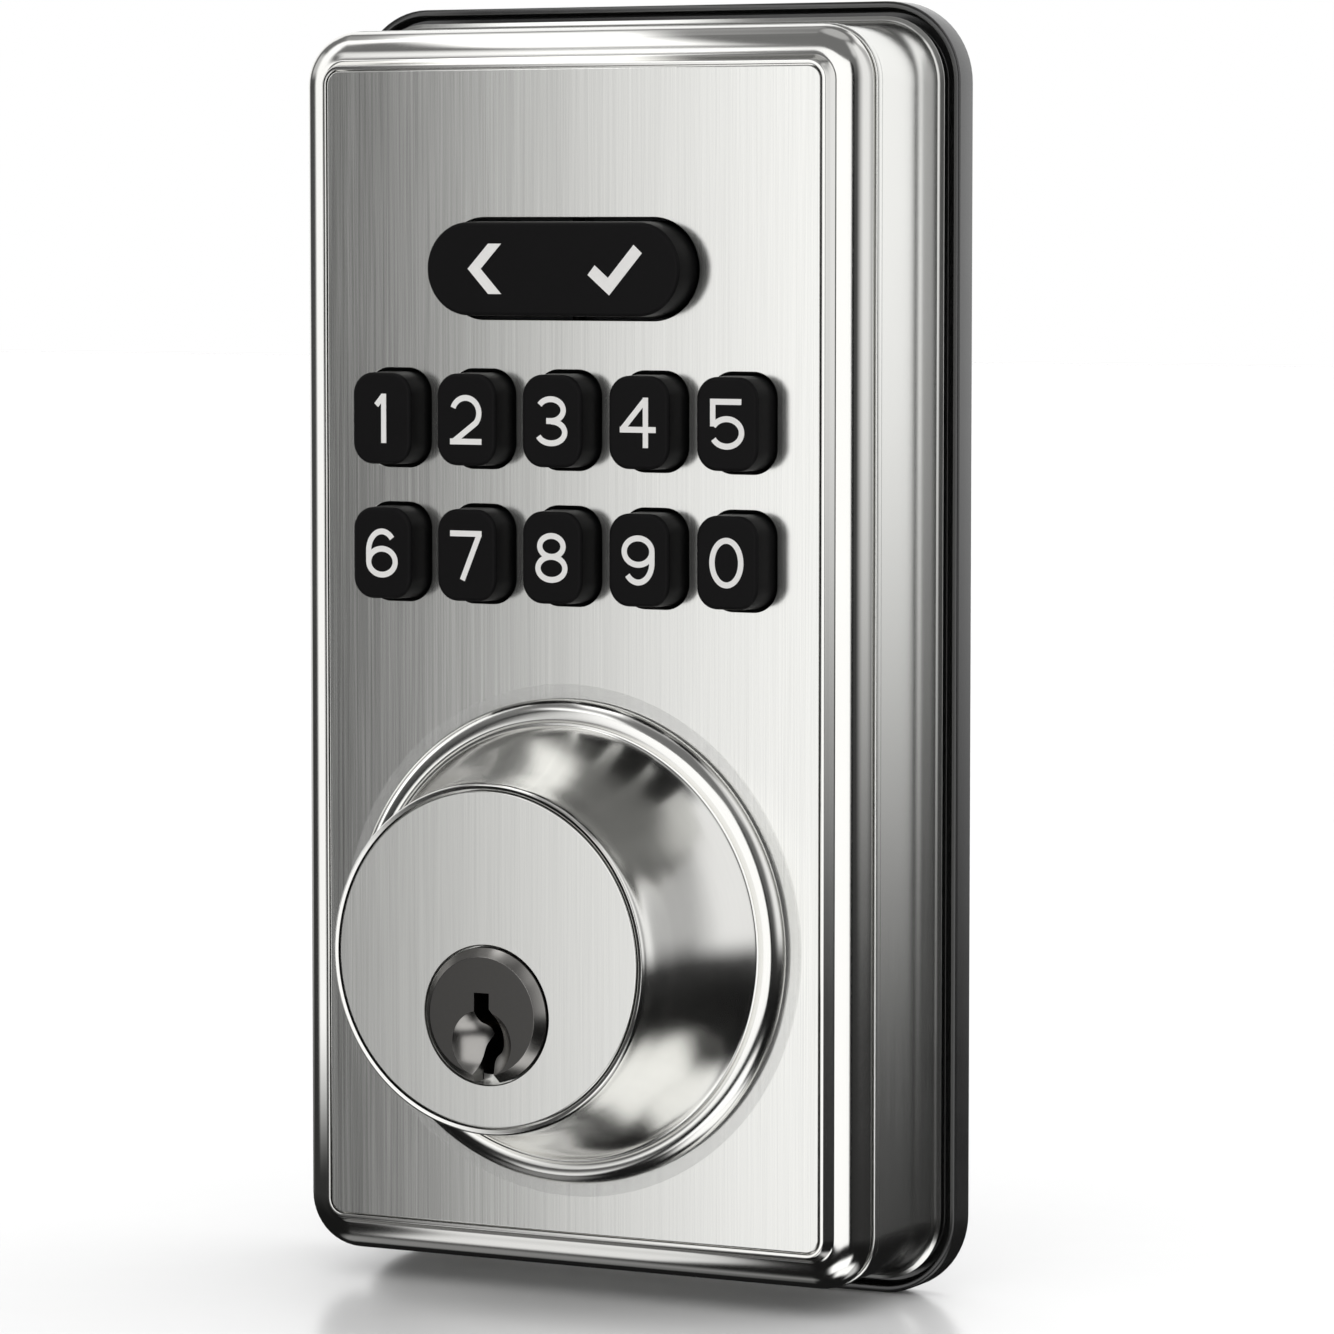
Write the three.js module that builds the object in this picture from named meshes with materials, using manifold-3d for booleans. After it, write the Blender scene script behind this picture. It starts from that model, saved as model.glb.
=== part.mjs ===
// Keypad deadbolt, outside half: a nickel cover with a keypad, a round cylinder collar and a key plug.
// Units are millimetres. +X is right and +Z is up as seen from outside, and +Y runs into the door.
// The origin is on the key plug's axis, in the plane of the door's outer face, at the cross bore's centre.

import * as THREE from 'three';
import { mergeVertices } from 'three/addons/utils/BufferGeometryUtils.js';
import Module from 'manifold-3d';

const wasm = await Module();
wasm.setup();

// ---------------------------------------------------------------- driving dimensions

// Cover, seen from the front
const PLATE_HALF_WIDTH = 30;
const PLATE_BOTTOM = -26;
const PLATE_TOP = 100;
const PLATE_CORNER = 1.5;
const BEZEL_WIDTH = 4.4;
const GASKET_OVERHANG = 2.9;
const HOUSING_WALL = 1.8;
const LEDGE_INSET = 0.5;
const LEDGE_INNER = 2.6;
const FLARE = 1.3;
const BOSS_RADIUS = 3.9;
const PILOT_RADIUS = 1.4;
const PILOT_START = -12;

// Cover, from front to back
const PLATE_FRONT = -22.8;
const PLATE_REAR = -21.3;
const LEDGE_FRONT = -21.15;
const BEZEL_REAR = -18.6;
const WALL_FRONT = -18.45;
const WALL_REAR = -17;
const HOUSING_REAR = -3.9;
const GASKET_FRONT = -3.6;
const DOOR_FACE = 0;

// Keypad
const KEY_PITCH = 10.5;
const KEY_ROWS = [62.3, 47.65];
const KEY_LABELS = [['1', '2', '3', '4', '5'], ['6', '7', '8', '9', '0']];
const KEY_HALF_WIDTH = 3.75;
const KEY_HALF_HEIGHT = 5.1;
const KEY_CORNER = 2.5;
const KEY_FRONT = -26.7;
const KEY_DRAFT = 0.13;
const KEY_BEVEL = 0.35;
const KEY_CLEARANCE = 0.25;
const FLANGE_RIM = 0.45;
const FLANGE_FRONT = -21.1;
const FLANGE_REAR = -20.4;
const POCKET_CLEARANCE = 0.3;
const POCKET_CORNER = 1.6;
const ROCKER_Z = 78.55;
const ROCKER_HALF_WIDTH = 15.45;
const ROCKER_HALF_HEIGHT = 5.15;
const ROCKER_REAR = -20.3;
const ROCKER_PIVOT = -20.4;
const TRUNNION_RADIUS = 0.7;
const TRUNNION_REACH = 1.1;

// Keypad module behind the plate
const GUIDE_HALF_WIDTH = 27.1;
const GUIDE_BOTTOM = 39.5;
const GUIDE_TOP = 86.9;
const GUIDE_REAR = -18.9;
const MAT_FRONT = -18.75;
const DOME_FRONT = -19.25;
const DOME_RADIUS = 2.2;
const DOME_HEIGHT = 0.6;
const ROCKER_DOME_X = 10.5;
const BOARD_FRONT = -16.85;
const BOARD_REAR = -15.25;
const BOARD_HALF_WIDTH = 31.4;
const BOARD_BOTTOM = 36.3;
const BOARD_TOP = 94.2;
const BOARD_SCREW_X = 29.6;
const BOARD_SCREW_Z = [39.3, 91.2];
const BOARD_SCREW_BORE = 1.45;
const CHIP = { x: -11, z: 62, half: 6, height: 1.5 };
const BUZZER = { x: 15, z: 72, radius: 6, height: 5.2, port: 1.1 };
const CONNECTOR = { x: 0, z: 42, halfWidth: 8, halfHeight: 3, height: 6.5, wall: 1.1 };
const SOLDER_GAP = 0.15;

// Lock cylinder
const COLLAR_AXIS_Z = 5.9;
const COLLAR_FRONT = -41.3;
const COLLAR_FACE_RADIUS = 18.6;
const COLLAR_BEAD_RADIUS = 26.35;
const COLLAR_STEP_RADIUS = 23.8;
const WASHER_RADIUS = 27.9;
const WASHER_THICKNESS = 0.3;
const WASHER_INNER = 20;
const FACE_RADIUS = 17.9;
const FACE_THICKNESS = 3;
const BODY_REAR = -17.15;
const BARREL_RADIUS = 9.2;
const CHAMBER_BLOCK_HALF = 4.4;
const CHAMBER_BLOCK_TOP = 19.9;
const CYLINDER_OPENING = 16.6;
const COVER_LENGTH = 20.4;
const COVER_WIDTH = 6.8;
const COVER_THICKNESS = 0.8;
const PLUG_FRONT = -42.35;
const PLUG_FACE_RADIUS = 6.3;
const PLUG_HEAD_RADIUS = 7.25;
const PLUG_HEAD_REAR = -39.8;
const PLUG_RADIUS = 6.35;
const PLUG_THREAD_RADIUS = 5.6;
const PLUG_REAR = -12.7;
const RUNNING_CLEARANCE = 0.15;
const KEYWAY_END = -16;
const DIMPLE_SPHERE = 5.5;
const DIMPLE_DEPTH = 1.3;
const DIMPLE_Z = -2.9;
const PIN_FIRST = -36.2;
const PIN_PITCH = 4;
const PIN_COUNT = 5;
const PIN_RADIUS = 1.45;
const CHAMBER_RADIUS = 1.6;
const KEY_PIN_LENGTHS = [4.6, 5.6, 4.1, 5.1, 6];
const KEY_PIN_TOP = 6.05;
const DRIVER_BOTTOM = 6.6;
const DRIVER_TOP = 11.1;
const SPRING_TURNS = 5;
const SPRING_WIRE = 0.2;
const SPRING_RADIUS = 1.15;
const CAP_RADIUS = 8;
const CAP_FRONT = -14.6;
const CAP_REAR = -9;
const DOG_REAR = -10.35;
const DOG_INNER = 2.6;
const DOG_OUTER = 5.45;
const DOG_START_DEG = 116.5;
const DOG_END_DEG = 153.5;
const BLADE_HALF_WIDTH = 3;
const BLADE_THICKNESS = 1.9;
const BLADE_ROOT_HALF = 5.2;
const BLADE_TIP = 52;

// Mounting
const BRACKET_FRONT = -16.85;
const BRACKET_REAR = -14.85;
const CYLINDER_SCREW_X = 10.5;
const CYLINDER_SCREW_Z = 13.4;
const CYLINDER_SCREW_CLEARANCE = 2.1;
const BRACKET = { z: 6, halfWidth: 25, halfHeight: 20, corner: 3 };
const POST_X = 19;
const POST_RADIUS = 4;
const POST_END = 14;
const POST_BORE = 2.1;
const POST_BORE_DEPTH = 18;
const STUD_RADIUS = 2.4;
const STUD_FRONT = -18.7;
const BACK_PLATE_FRONT = -3.6;
const BACK_PLATE_REAR = -1.8;
const BACK_SCREW_X = 28.8;
const BACK_SCREW_Z = [-24.6, 98.6];
const OUTLET_Z = 18.5;
const OUTLET_HALF_WIDTH = 8;
const OUTLET_HALF_HEIGHT = 4.7;
const PLUG_OPENING = 10.5;

// Facets
const CORNER_STEPS = 2;
const ROUND_STEPS = 32;
const SMALL_STEPS = 12;
const SPRING_SIDES = 4;
const SPRING_STEPS = 6;
const OVERRUN = 1;
const CORNER_GAP = 0.01;

// ---------------------------------------------------------------- looks

const LOOKS = {
  satinNickel: { color: 0xbab9b3, roughness: 0.38, metalness: 1 },
  polishedNickel: { color: 0xcccbc7, roughness: 0.12, metalness: 1 },
  gunmetal: { color: 0x575552, roughness: 0.34, metalness: 1 },
  steel: { color: 0x9fa1a3, roughness: 0.4, metalness: 1 },
  blackSteel: { color: 0x2b2c2d, roughness: 0.5, metalness: 0.8 },
  brass: { color: 0xb8955a, roughness: 0.3, metalness: 1 },
  keyBlack: { color: 0x131313, roughness: 0.42, metalness: 0 },
  gasketBlack: { color: 0x1c1c1d, roughness: 0.5, metalness: 0 },
  guideGrey: { color: 0x3a3b3d, roughness: 0.55, metalness: 0 },
  siliconeGrey: { color: 0x55585c, roughness: 0.65, metalness: 0 },
  boardGreen: { color: 0x1e5b38, roughness: 0.45, metalness: 0 },
  chipBlack: { color: 0x161718, roughness: 0.5, metalness: 0 },
  connectorCream: { color: 0xe4dfd0, roughness: 0.5, metalness: 0 },
  washerClear: { color: 0xdcdcd8, roughness: 0.3, metalness: 0 },
};

const lock = new THREE.Group();

function addPiece(name, solid, look) {
  const mesh = new THREE.Mesh(fromManifold(solid), new THREE.MeshStandardMaterial(LOOKS[look]));
  mesh.name = name;
  lock.add(mesh);
  return mesh;
}

// ---------------------------------------------------------------- solids and booleans

function signedVolume(positions, index) {
  const a = new THREE.Vector3();
  const b = new THREE.Vector3();
  const c = new THREE.Vector3();
  let volume = 0;
  for (let i = 0; i < index.count; i += 3) {
    a.fromBufferAttribute(positions, index.getX(i));
    b.fromBufferAttribute(positions, index.getX(i + 1));
    c.fromBufferAttribute(positions, index.getX(i + 2));
    volume += a.dot(b.cross(c)) / 6;
  }
  return volume;
}

// A closed geometry as a solid, with its faces turned outwards.
function solidFrom(geometry) {
  const bare = geometry.clone();
  bare.deleteAttribute('normal');
  bare.deleteAttribute('uv');
  bare.clearGroups();
  const merged = mergeVertices(bare, 1e-4);
  const triangles = Uint32Array.from(merged.index.array);
  if (signedVolume(merged.attributes.position, merged.index) < 0) {
    for (let i = 0; i < triangles.length; i += 3) {
      [triangles[i + 1], triangles[i + 2]] = [triangles[i + 2], triangles[i + 1]];
    }
  }
  const vertProperties = Float32Array.from(merged.attributes.position.array);
  return new wasm.Manifold(new wasm.Mesh({ numProp: 3, vertProperties, triVerts: triangles }));
}

function fromManifold(solid) {
  const mesh = solid.getMesh();
  const geometry = new THREE.BufferGeometry();
  const points = new Float32Array(mesh.numVert * 3);
  for (let i = 0; i < mesh.numVert; i += 1) {
    for (let k = 0; k < 3; k += 1) {
      points[3 * i + k] = mesh.vertProperties[mesh.numProp * i + k];
    }
  }
  geometry.setAttribute('position', new THREE.BufferAttribute(points, 3));
  geometry.setIndex(new THREE.BufferAttribute(Uint32Array.from(mesh.triVerts), 1));
  geometry.computeVertexNormals();
  return geometry;
}

function join(solids) {
  return solids.reduce((whole, solid) => whole.add(solid));
}

function cut(solid, tools) {
  return tools.reduce((rest, tool) => rest.subtract(tool), solid);
}

// ---------------------------------------------------------------- shapes

// A rounded rectangle in the plane of the door, about (x, z).
function roundedShape(x, z, halfWidth, halfHeight, corner) {
  const shape = new THREE.Shape();
  const right = x + halfWidth - corner;
  const left = x - halfWidth + corner;
  const top = z + halfHeight - corner;
  const bottom = z - halfHeight + corner;
  shape.absarc(right, bottom, corner, -Math.PI / 2, 0, false);
  shape.absarc(right, top, corner, 0, Math.PI / 2, false);
  shape.absarc(left, top, corner, Math.PI / 2, Math.PI, false);
  shape.absarc(left, bottom, corner, Math.PI, 1.5 * Math.PI, false);
  shape.closePath();
  return shape;
}

// The cover's outline, offset outwards from the plate's edge.
function coverShape(offset, corner = PLATE_CORNER + offset) {
  const middle = (PLATE_TOP + PLATE_BOTTOM) / 2;
  const halfHeight = (PLATE_TOP - PLATE_BOTTOM) / 2 + offset;
  return roundedShape(0, middle, PLATE_HALF_WIDTH + offset, halfHeight, corner);
}

// A flat shape made solid from one depth to another.
function slab(shape, front, rear, steps = CORNER_STEPS) {
  const geometry = new THREE.ExtrudeGeometry(shape, {
    depth: rear - front,
    bevelEnabled: false,
    curveSegments: steps,
  });
  geometry.rotateX(Math.PI / 2);
  geometry.translate(0, rear, 0);
  return solidFrom(geometry);
}

function block(x, z, halfWidth, halfHeight, front, rear) {
  const geometry = new THREE.BoxGeometry(2 * halfWidth, rear - front, 2 * halfHeight);
  geometry.translate(x, (front + rear) / 2, z);
  return solidFrom(geometry);
}

// A round bar along Y.
function rod(x, z, radius, front, rear, steps = SMALL_STEPS) {
  const geometry = new THREE.CylinderGeometry(radius, radius, rear - front, steps);
  geometry.translate(x, (front + rear) / 2, z);
  return solidFrom(geometry);
}

// A round bar along Z.
function upright(x, y, radius, bottom, top, steps = SMALL_STEPS) {
  const geometry = new THREE.CylinderGeometry(radius, radius, top - bottom, steps);
  geometry.rotateX(Math.PI / 2);
  geometry.translate(x, y, (bottom + top) / 2);
  return solidFrom(geometry);
}

// A profile of [radius, y] pairs turned about an axis along Y.
function turned(profile, z = 0, steps = ROUND_STEPS) {
  const points = profile.map(([radius, y]) => new THREE.Vector2(radius, y));
  const geometry = new THREE.LatheGeometry(points, steps);
  geometry.translate(0, 0, z);
  return solidFrom(geometry);
}

// A closed profile of [offset, y] pairs swept round the cover's outline.
function coverSweep(profile) {
  const rings = profile.map(([offset, y]) => {
    const outline = coverShape(offset).getPoints(CORNER_STEPS).slice(0, -1);
    return outline.map((p) => new THREE.Vector3(p.x, y, p.y));
  });
  return solidFrom(skin([...rings, rings[0]], false));
}

// Rings of equal length joined by quads, closed at both ends by fans when capped.
function skin(rings, capped) {
  const count = rings[0].length;
  const triangles = [];
  for (let r = 0; r + 1 < rings.length; r += 1) {
    for (let i = 0; i < count; i += 1) {
      const j = (i + 1) % count;
      triangles.push(rings[r][i], rings[r][j], rings[r + 1][j]);
      triangles.push(rings[r][i], rings[r + 1][j], rings[r + 1][i]);
    }
  }
  if (capped) {
    const first = rings[0];
    const last = rings[rings.length - 1];
    for (let i = 1; i + 1 < count; i += 1) {
      triangles.push(first[0], first[i + 1], first[i]);
      triangles.push(last[0], last[i], last[i + 1]);
    }
  }
  return new THREE.BufferGeometry().setFromPoints(triangles);
}

// A stack of rounded rectangles: each level is [y, inset from the full outline].
function stacked(x, z, halfWidth, halfHeight, corner, levels) {
  const rings = levels.map(([y, inset]) => {
    const shape = roundedShape(x, z, halfWidth - inset, halfHeight - inset, corner - inset);
    const outline = shape.getPoints(CORNER_STEPS).slice(0, -1);
    return outline.map((p) => new THREE.Vector3(p.x, y, p.y));
  });
  return solidFrom(skin(rings, true));
}

function mirrored(positions) {
  return [-1, 1].flatMap((side) => positions.map((z) => [side, z]));
}

// ---------------------------------------------------------------- keypad layout

function keyX(column) {
  return (column - 2) * KEY_PITCH;
}

const KEY_PLACES = KEY_ROWS.flatMap((z, row) => (
  KEY_LABELS[row].map((label, column) => ({ label, x: keyX(column), z }))
));

function keyOutline(place, margin, corner = KEY_CORNER + margin) {
  const halfWidth = KEY_HALF_WIDTH + margin;
  const halfHeight = KEY_HALF_HEIGHT + margin;
  return roundedShape(place.x, place.z, halfWidth, halfHeight, corner);
}

function rockerOutline(margin, corner = ROCKER_HALF_HEIGHT + margin - CORNER_GAP) {
  const halfHeight = ROCKER_HALF_HEIGHT + margin;
  return roundedShape(0, ROCKER_Z, ROCKER_HALF_WIDTH + margin, halfHeight, corner);
}

// ---------------------------------------------------------------- cover

function frontPlate() {
  const shape = coverShape(0);
  const keyHoles = KEY_PLACES.map((place) => keyOutline(place, KEY_CLEARANCE));
  shape.holes.push(...keyHoles, rockerOutline(KEY_CLEARANCE + 0.05));
  const plate = slab(shape, PLATE_FRONT, PLATE_REAR);
  const front = PLATE_FRONT - OVERRUN;
  const rear = PLATE_REAR + OVERRUN;
  return plate.subtract(rod(0, COLLAR_AXIS_Z, CYLINDER_OPENING + 0.9, front, rear, ROUND_STEPS));
}

// The bezel's inner land, step, cove and outer roll, as [offset from the plate's edge, y].
function bezelFrame() {
  const profile = [
    [0.15, LEDGE_FRONT],
    [0.15, PLATE_FRONT],
    [0.55, PLATE_FRONT],
    [0.85, PLATE_FRONT + 0.75],
    [1.5, PLATE_FRONT + 1.3],
    [2.4, PLATE_FRONT + 1.6],
    [3.3, PLATE_FRONT + 2.05],
    [4, PLATE_FRONT + 2.75],
    [BEZEL_WIDTH, PLATE_FRONT + 3.6],
    [BEZEL_WIDTH - 0.2, BEZEL_REAR],
    [-2 * LEDGE_INSET, BEZEL_REAR],
    [-2 * LEDGE_INSET, LEDGE_FRONT],
  ];
  const ledge = coverShape(-LEDGE_INSET, 0.5);
  ledge.holes.push(coverShape(-LEDGE_INNER, 0.5));
  return join([coverSweep(profile), slab(ledge, LEDGE_FRONT, BEZEL_REAR, 2)]);
}

// The housing's wall, flared at the rear, with its front wall, pad, bosses and openings.
function housing() {
  const inner = BEZEL_WIDTH - HOUSING_WALL;
  const wall = coverSweep([
    [inner, WALL_FRONT],
    [BEZEL_WIDTH - 0.15, WALL_FRONT],
    [BEZEL_WIDTH, WALL_FRONT + 0.4],
    [BEZEL_WIDTH, -6.3],
    [BEZEL_WIDTH + 0.3, -5.1],
    [BEZEL_WIDTH + FLARE, HOUSING_REAR],
    [inner, HOUSING_REAR],
  ]);
  const frontWall = slab(coverShape(BEZEL_WIDTH - 1), WALL_FRONT, WALL_REAR);
  const padTop = GUIDE_BOTTOM - 3;
  const padBottom = PLATE_BOTTOM + 2.9;
  const padMiddle = (padTop + padBottom) / 2;
  const pad = block(0, padMiddle, GUIDE_HALF_WIDTH, (padTop - padBottom) / 2, LEDGE_FRONT, WALL_REAR);
  const bosses = mirrored(BACK_SCREW_Z).map(([side, z]) => (
    rod(side * BACK_SCREW_X, z, BOSS_RADIUS, WALL_REAR - 0.5, HOUSING_REAR + 0.05)
  ));
  const windowMiddle = (GUIDE_TOP + GUIDE_BOTTOM) / 2;
  const windowHalf = (GUIDE_TOP - GUIDE_BOTTOM) / 2 + 0.3;
  const front = LEDGE_FRONT - OVERRUN;
  const rear = WALL_REAR + OVERRUN;
  const openings = [
    block(0, windowMiddle, GUIDE_HALF_WIDTH + 0.3, windowHalf, front, rear),
    rod(0, COLLAR_AXIS_Z, CYLINDER_OPENING, front, rear, ROUND_STEPS),
    ...mirrored([0]).map(([side]) => rod(side * POST_X, 0, STUD_RADIUS + 0.3, STUD_FRONT - 0.3, rear)),
    ...mirrored(BOARD_SCREW_Z).map(([side, z]) => rod(side * BOARD_SCREW_X, z, BOARD_SCREW_BORE, front, rear)),
    ...mirrored(BACK_SCREW_Z).map(([side, z]) => rod(side * BACK_SCREW_X, z, PILOT_RADIUS, PILOT_START, DOOR_FACE)),
  ];
  return cut(join([wall, frontWall, pad, ...bosses]), openings);
}

function backPlate() {
  const outline = coverShape(1.7);
  const plate = slab(outline, BACK_PLATE_FRONT, BACK_PLATE_REAR, 4);
  const outlet = roundedShape(
    0, OUTLET_Z, OUTLET_HALF_WIDTH, OUTLET_HALF_HEIGHT, OUTLET_HALF_HEIGHT - CORNER_GAP,
  );
  const front = BACK_PLATE_FRONT - OVERRUN;
  const rear = BACK_PLATE_REAR + OVERRUN;
  const openings = [
    rod(0, 0, PLUG_OPENING, front, rear, 28),
    slab(outlet, front, rear),
    ...mirrored([0]).map(([side]) => rod(side * POST_X, 0, POST_RADIUS + 0.4, front, rear, 20)),
    ...mirrored(BACK_SCREW_Z).map(([side, z]) => rod(side * BACK_SCREW_X, z, 1.7, front, rear)),
  ];
  return cut(plate, openings);
}

function backGasket() {
  const outer = BEZEL_WIDTH + GASKET_OVERHANG;
  return coverSweep([
    [2, DOOR_FACE],
    [2, GASKET_FRONT],
    [outer - 0.9, GASKET_FRONT],
    [outer, GASKET_FRONT + 0.9],
    [outer, DOOR_FACE],
  ]);
}

function cableGrommet() {
  const bush = (margin, front, rear) => {
    const halfHeight = OUTLET_HALF_HEIGHT + margin;
    const halfWidth = OUTLET_HALF_WIDTH + margin;
    return slab(roundedShape(0, OUTLET_Z, halfWidth, halfHeight, halfHeight - CORNER_GAP), front, rear);
  };
  const outerLip = bush(1.2, BACK_PLATE_FRONT - 0.75, BACK_PLATE_FRONT - 0.15);
  const neck = bush(-0.2, BACK_PLATE_FRONT - 0.3, BACK_PLATE_REAR + 0.3);
  const innerLip = bush(1.2, BACK_PLATE_REAR + 0.15, BACK_PLATE_REAR + 0.75);
  return join([outerLip, neck, innerLip]).subtract(bush(-1.5, BACK_PLATE_FRONT - 2, BACK_PLATE_REAR + 2));
}

// ---------------------------------------------------------------- keypad

function keyCap(place) {
  const neckInset = FLANGE_RIM;
  const shoulder = KEY_FRONT + KEY_BEVEL;
  return stacked(
    place.x, place.z, KEY_HALF_WIDTH + FLANGE_RIM, KEY_HALF_HEIGHT + FLANGE_RIM, KEY_CORNER + FLANGE_RIM,
    [
      [FLANGE_REAR, 0],
      [FLANGE_FRONT, 0],
      [FLANGE_FRONT, neckInset],
      [shoulder, neckInset + KEY_DRAFT],
      [KEY_FRONT, neckInset + KEY_DRAFT + KEY_BEVEL],
    ],
  );
}

function functionKey() {
  const corner = ROCKER_HALF_HEIGHT - CORNER_GAP;
  const cap = stacked(0, ROCKER_Z, ROCKER_HALF_WIDTH, ROCKER_HALF_HEIGHT, corner, [
    [ROCKER_REAR, 0],
    [KEY_FRONT + KEY_BEVEL, KEY_DRAFT],
    [KEY_FRONT, KEY_DRAFT + KEY_BEVEL],
  ]);
  const reach = ROCKER_HALF_HEIGHT + TRUNNION_REACH;
  const trunnions = upright(0, ROCKER_PIVOT, TRUNNION_RADIUS, ROCKER_Z - reach, ROCKER_Z + reach);
  return cap.add(trunnions);
}

function guideOutline(margin) {
  const middle = (GUIDE_TOP + GUIDE_BOTTOM) / 2;
  const halfHeight = (GUIDE_TOP - GUIDE_BOTTOM) / 2 + margin;
  return roundedShape(0, middle, GUIDE_HALF_WIDTH + margin, halfHeight, 1.5);
}

function keyGuide() {
  const shape = guideOutline(0);
  const margin = FLANGE_RIM + POCKET_CLEARANCE;
  const pockets = KEY_PLACES.map((place) => keyOutline(place, margin, POCKET_CORNER));
  shape.holes.push(...pockets, rockerOutline(0.35, 2 * POCKET_CORNER));
  const guide = slab(shape, LEDGE_FRONT, GUIDE_REAR, 1);
  const notchReach = ROCKER_HALF_HEIGHT + TRUNNION_REACH + 0.3;
  const front = LEDGE_FRONT - OVERRUN;
  return guide.subtract(block(0, ROCKER_Z, TRUNNION_RADIUS + 0.3, notchReach, front, ROCKER_PIVOT + 0.9));
}

// Each dome stands at the height it is pressed to, so a key's full travel ends just above it.
function keyMat() {
  const sheet = slab(guideOutline(-0.1), MAT_FRONT, WALL_REAR, 2);
  const dome = (x, z) => {
    const geometry = new THREE.CylinderGeometry(DOME_RADIUS + 0.4, DOME_RADIUS, DOME_HEIGHT, 10);
    geometry.translate(x, DOME_FRONT + DOME_HEIGHT / 2, z);
    return solidFrom(geometry);
  };
  const keyDomes = KEY_PLACES.map((place) => dome(place.x, place.z));
  const rockerDomes = [-1, 1].map((side) => dome(side * ROCKER_DOME_X, ROCKER_Z));
  return join([sheet, ...keyDomes, ...rockerDomes]);
}

function circuitBoard() {
  const middle = (BOARD_TOP + BOARD_BOTTOM) / 2;
  const shape = roundedShape(0, middle, BOARD_HALF_WIDTH, (BOARD_TOP - BOARD_BOTTOM) / 2, 1.5);
  const board = slab(shape, BOARD_FRONT, BOARD_REAR, 3);
  const front = BOARD_FRONT - OVERRUN;
  const rear = BOARD_REAR + OVERRUN;
  const holes = mirrored(BOARD_SCREW_Z).map(([side, z]) => rod(side * BOARD_SCREW_X, z, 1.5, front, rear));
  return cut(board, holes);
}

function controllerChip() {
  return block(CHIP.x, CHIP.z, CHIP.half, CHIP.half, BOARD_REAR + SOLDER_GAP, BOARD_REAR + CHIP.height);
}

function buzzer() {
  const { x, z, radius, port } = BUZZER;
  const rear = BOARD_REAR + BUZZER.height;
  const can = rod(x, z, radius, BOARD_REAR + SOLDER_GAP, rear, 28);
  return can.subtract(rod(x, z, port, rear - 1.2, rear + OVERRUN));
}

function cableConnector() {
  const { x, z, halfWidth, halfHeight, wall } = CONNECTOR;
  const rear = BOARD_REAR + CONNECTOR.height;
  const shell = block(x, z, halfWidth, halfHeight, BOARD_REAR + SOLDER_GAP, rear);
  return shell.subtract(block(x, z, halfWidth - wall, halfHeight - wall, BOARD_REAR + wall + 0.5, rear + OVERRUN));
}

// A pan-head screw put in from behind: the head's front is at seat, and the shank runs forwards.
function screw(x, z, headRadius, headHeight, shankRadius, seat, tip) {
  const head = rod(x, z, headRadius, seat, seat + headHeight, 14);
  const shank = rod(x, z, shankRadius, tip, seat + 0.2, 8);
  const slotDepth = headHeight * 0.45;
  const recess = [[headRadius * 0.6, 0.25], [0.25, headRadius * 0.6]].map(([halfWidth, halfHeight]) => (
    block(x, z, halfWidth, halfHeight, seat + headHeight - slotDepth, seat + headHeight + OVERRUN)
  ));
  return cut(join([head, shank]), recess);
}

// ---------------------------------------------------------------- lock cylinder

// A hollow cone with a bead round its base, recessed at the front for the cylinder's face.
function collar() {
  const base = PLATE_FRONT - WASHER_THICKNESS - 0.1;
  const outer = [
    [COLLAR_BEAD_RADIUS, base],
    [COLLAR_BEAD_RADIUS, base - 0.6],
    [COLLAR_BEAD_RADIUS - 0.7, base - 1.4],
    [COLLAR_STEP_RADIUS + 0.5, base - 1.7],
    [COLLAR_STEP_RADIUS, base - 1.5],
    [COLLAR_STEP_RADIUS - 1.4, base - 3.6],
    [20.6, base - 8],
    [19.4, base - 13.5],
    [COLLAR_FACE_RADIUS + 0.15, COLLAR_FRONT + 0.5],
    [COLLAR_FACE_RADIUS - 0.2, COLLAR_FRONT],
  ];
  const inner = [
    [FACE_RADIUS + 0.2, COLLAR_FRONT],
    [FACE_RADIUS + 0.2, COLLAR_FRONT + FACE_THICKNESS + 0.15],
    [FACE_RADIUS - 0.8, COLLAR_FRONT + FACE_THICKNESS + 0.15],
    [FACE_RADIUS - 0.8, base - 8],
    [WASHER_INNER, base - 3],
    [WASHER_INNER, base],
  ];
  return turned([...outer, ...inner, outer[0]], COLLAR_AXIS_Z);
}

function collarWasher() {
  const rear = PLATE_FRONT - 0.05;
  const front = rear - WASHER_THICKNESS;
  return turned([
    [WASHER_INNER, front],
    [WASHER_RADIUS, front],
    [WASHER_RADIUS, rear],
    [WASHER_INNER, rear],
    [WASHER_INNER, front],
  ], COLLAR_AXIS_Z);
}

function pinY(index) {
  return PIN_FIRST + index * PIN_PITCH;
}

const PIN_INDEXES = [...Array(PIN_COUNT).keys()];

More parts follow.
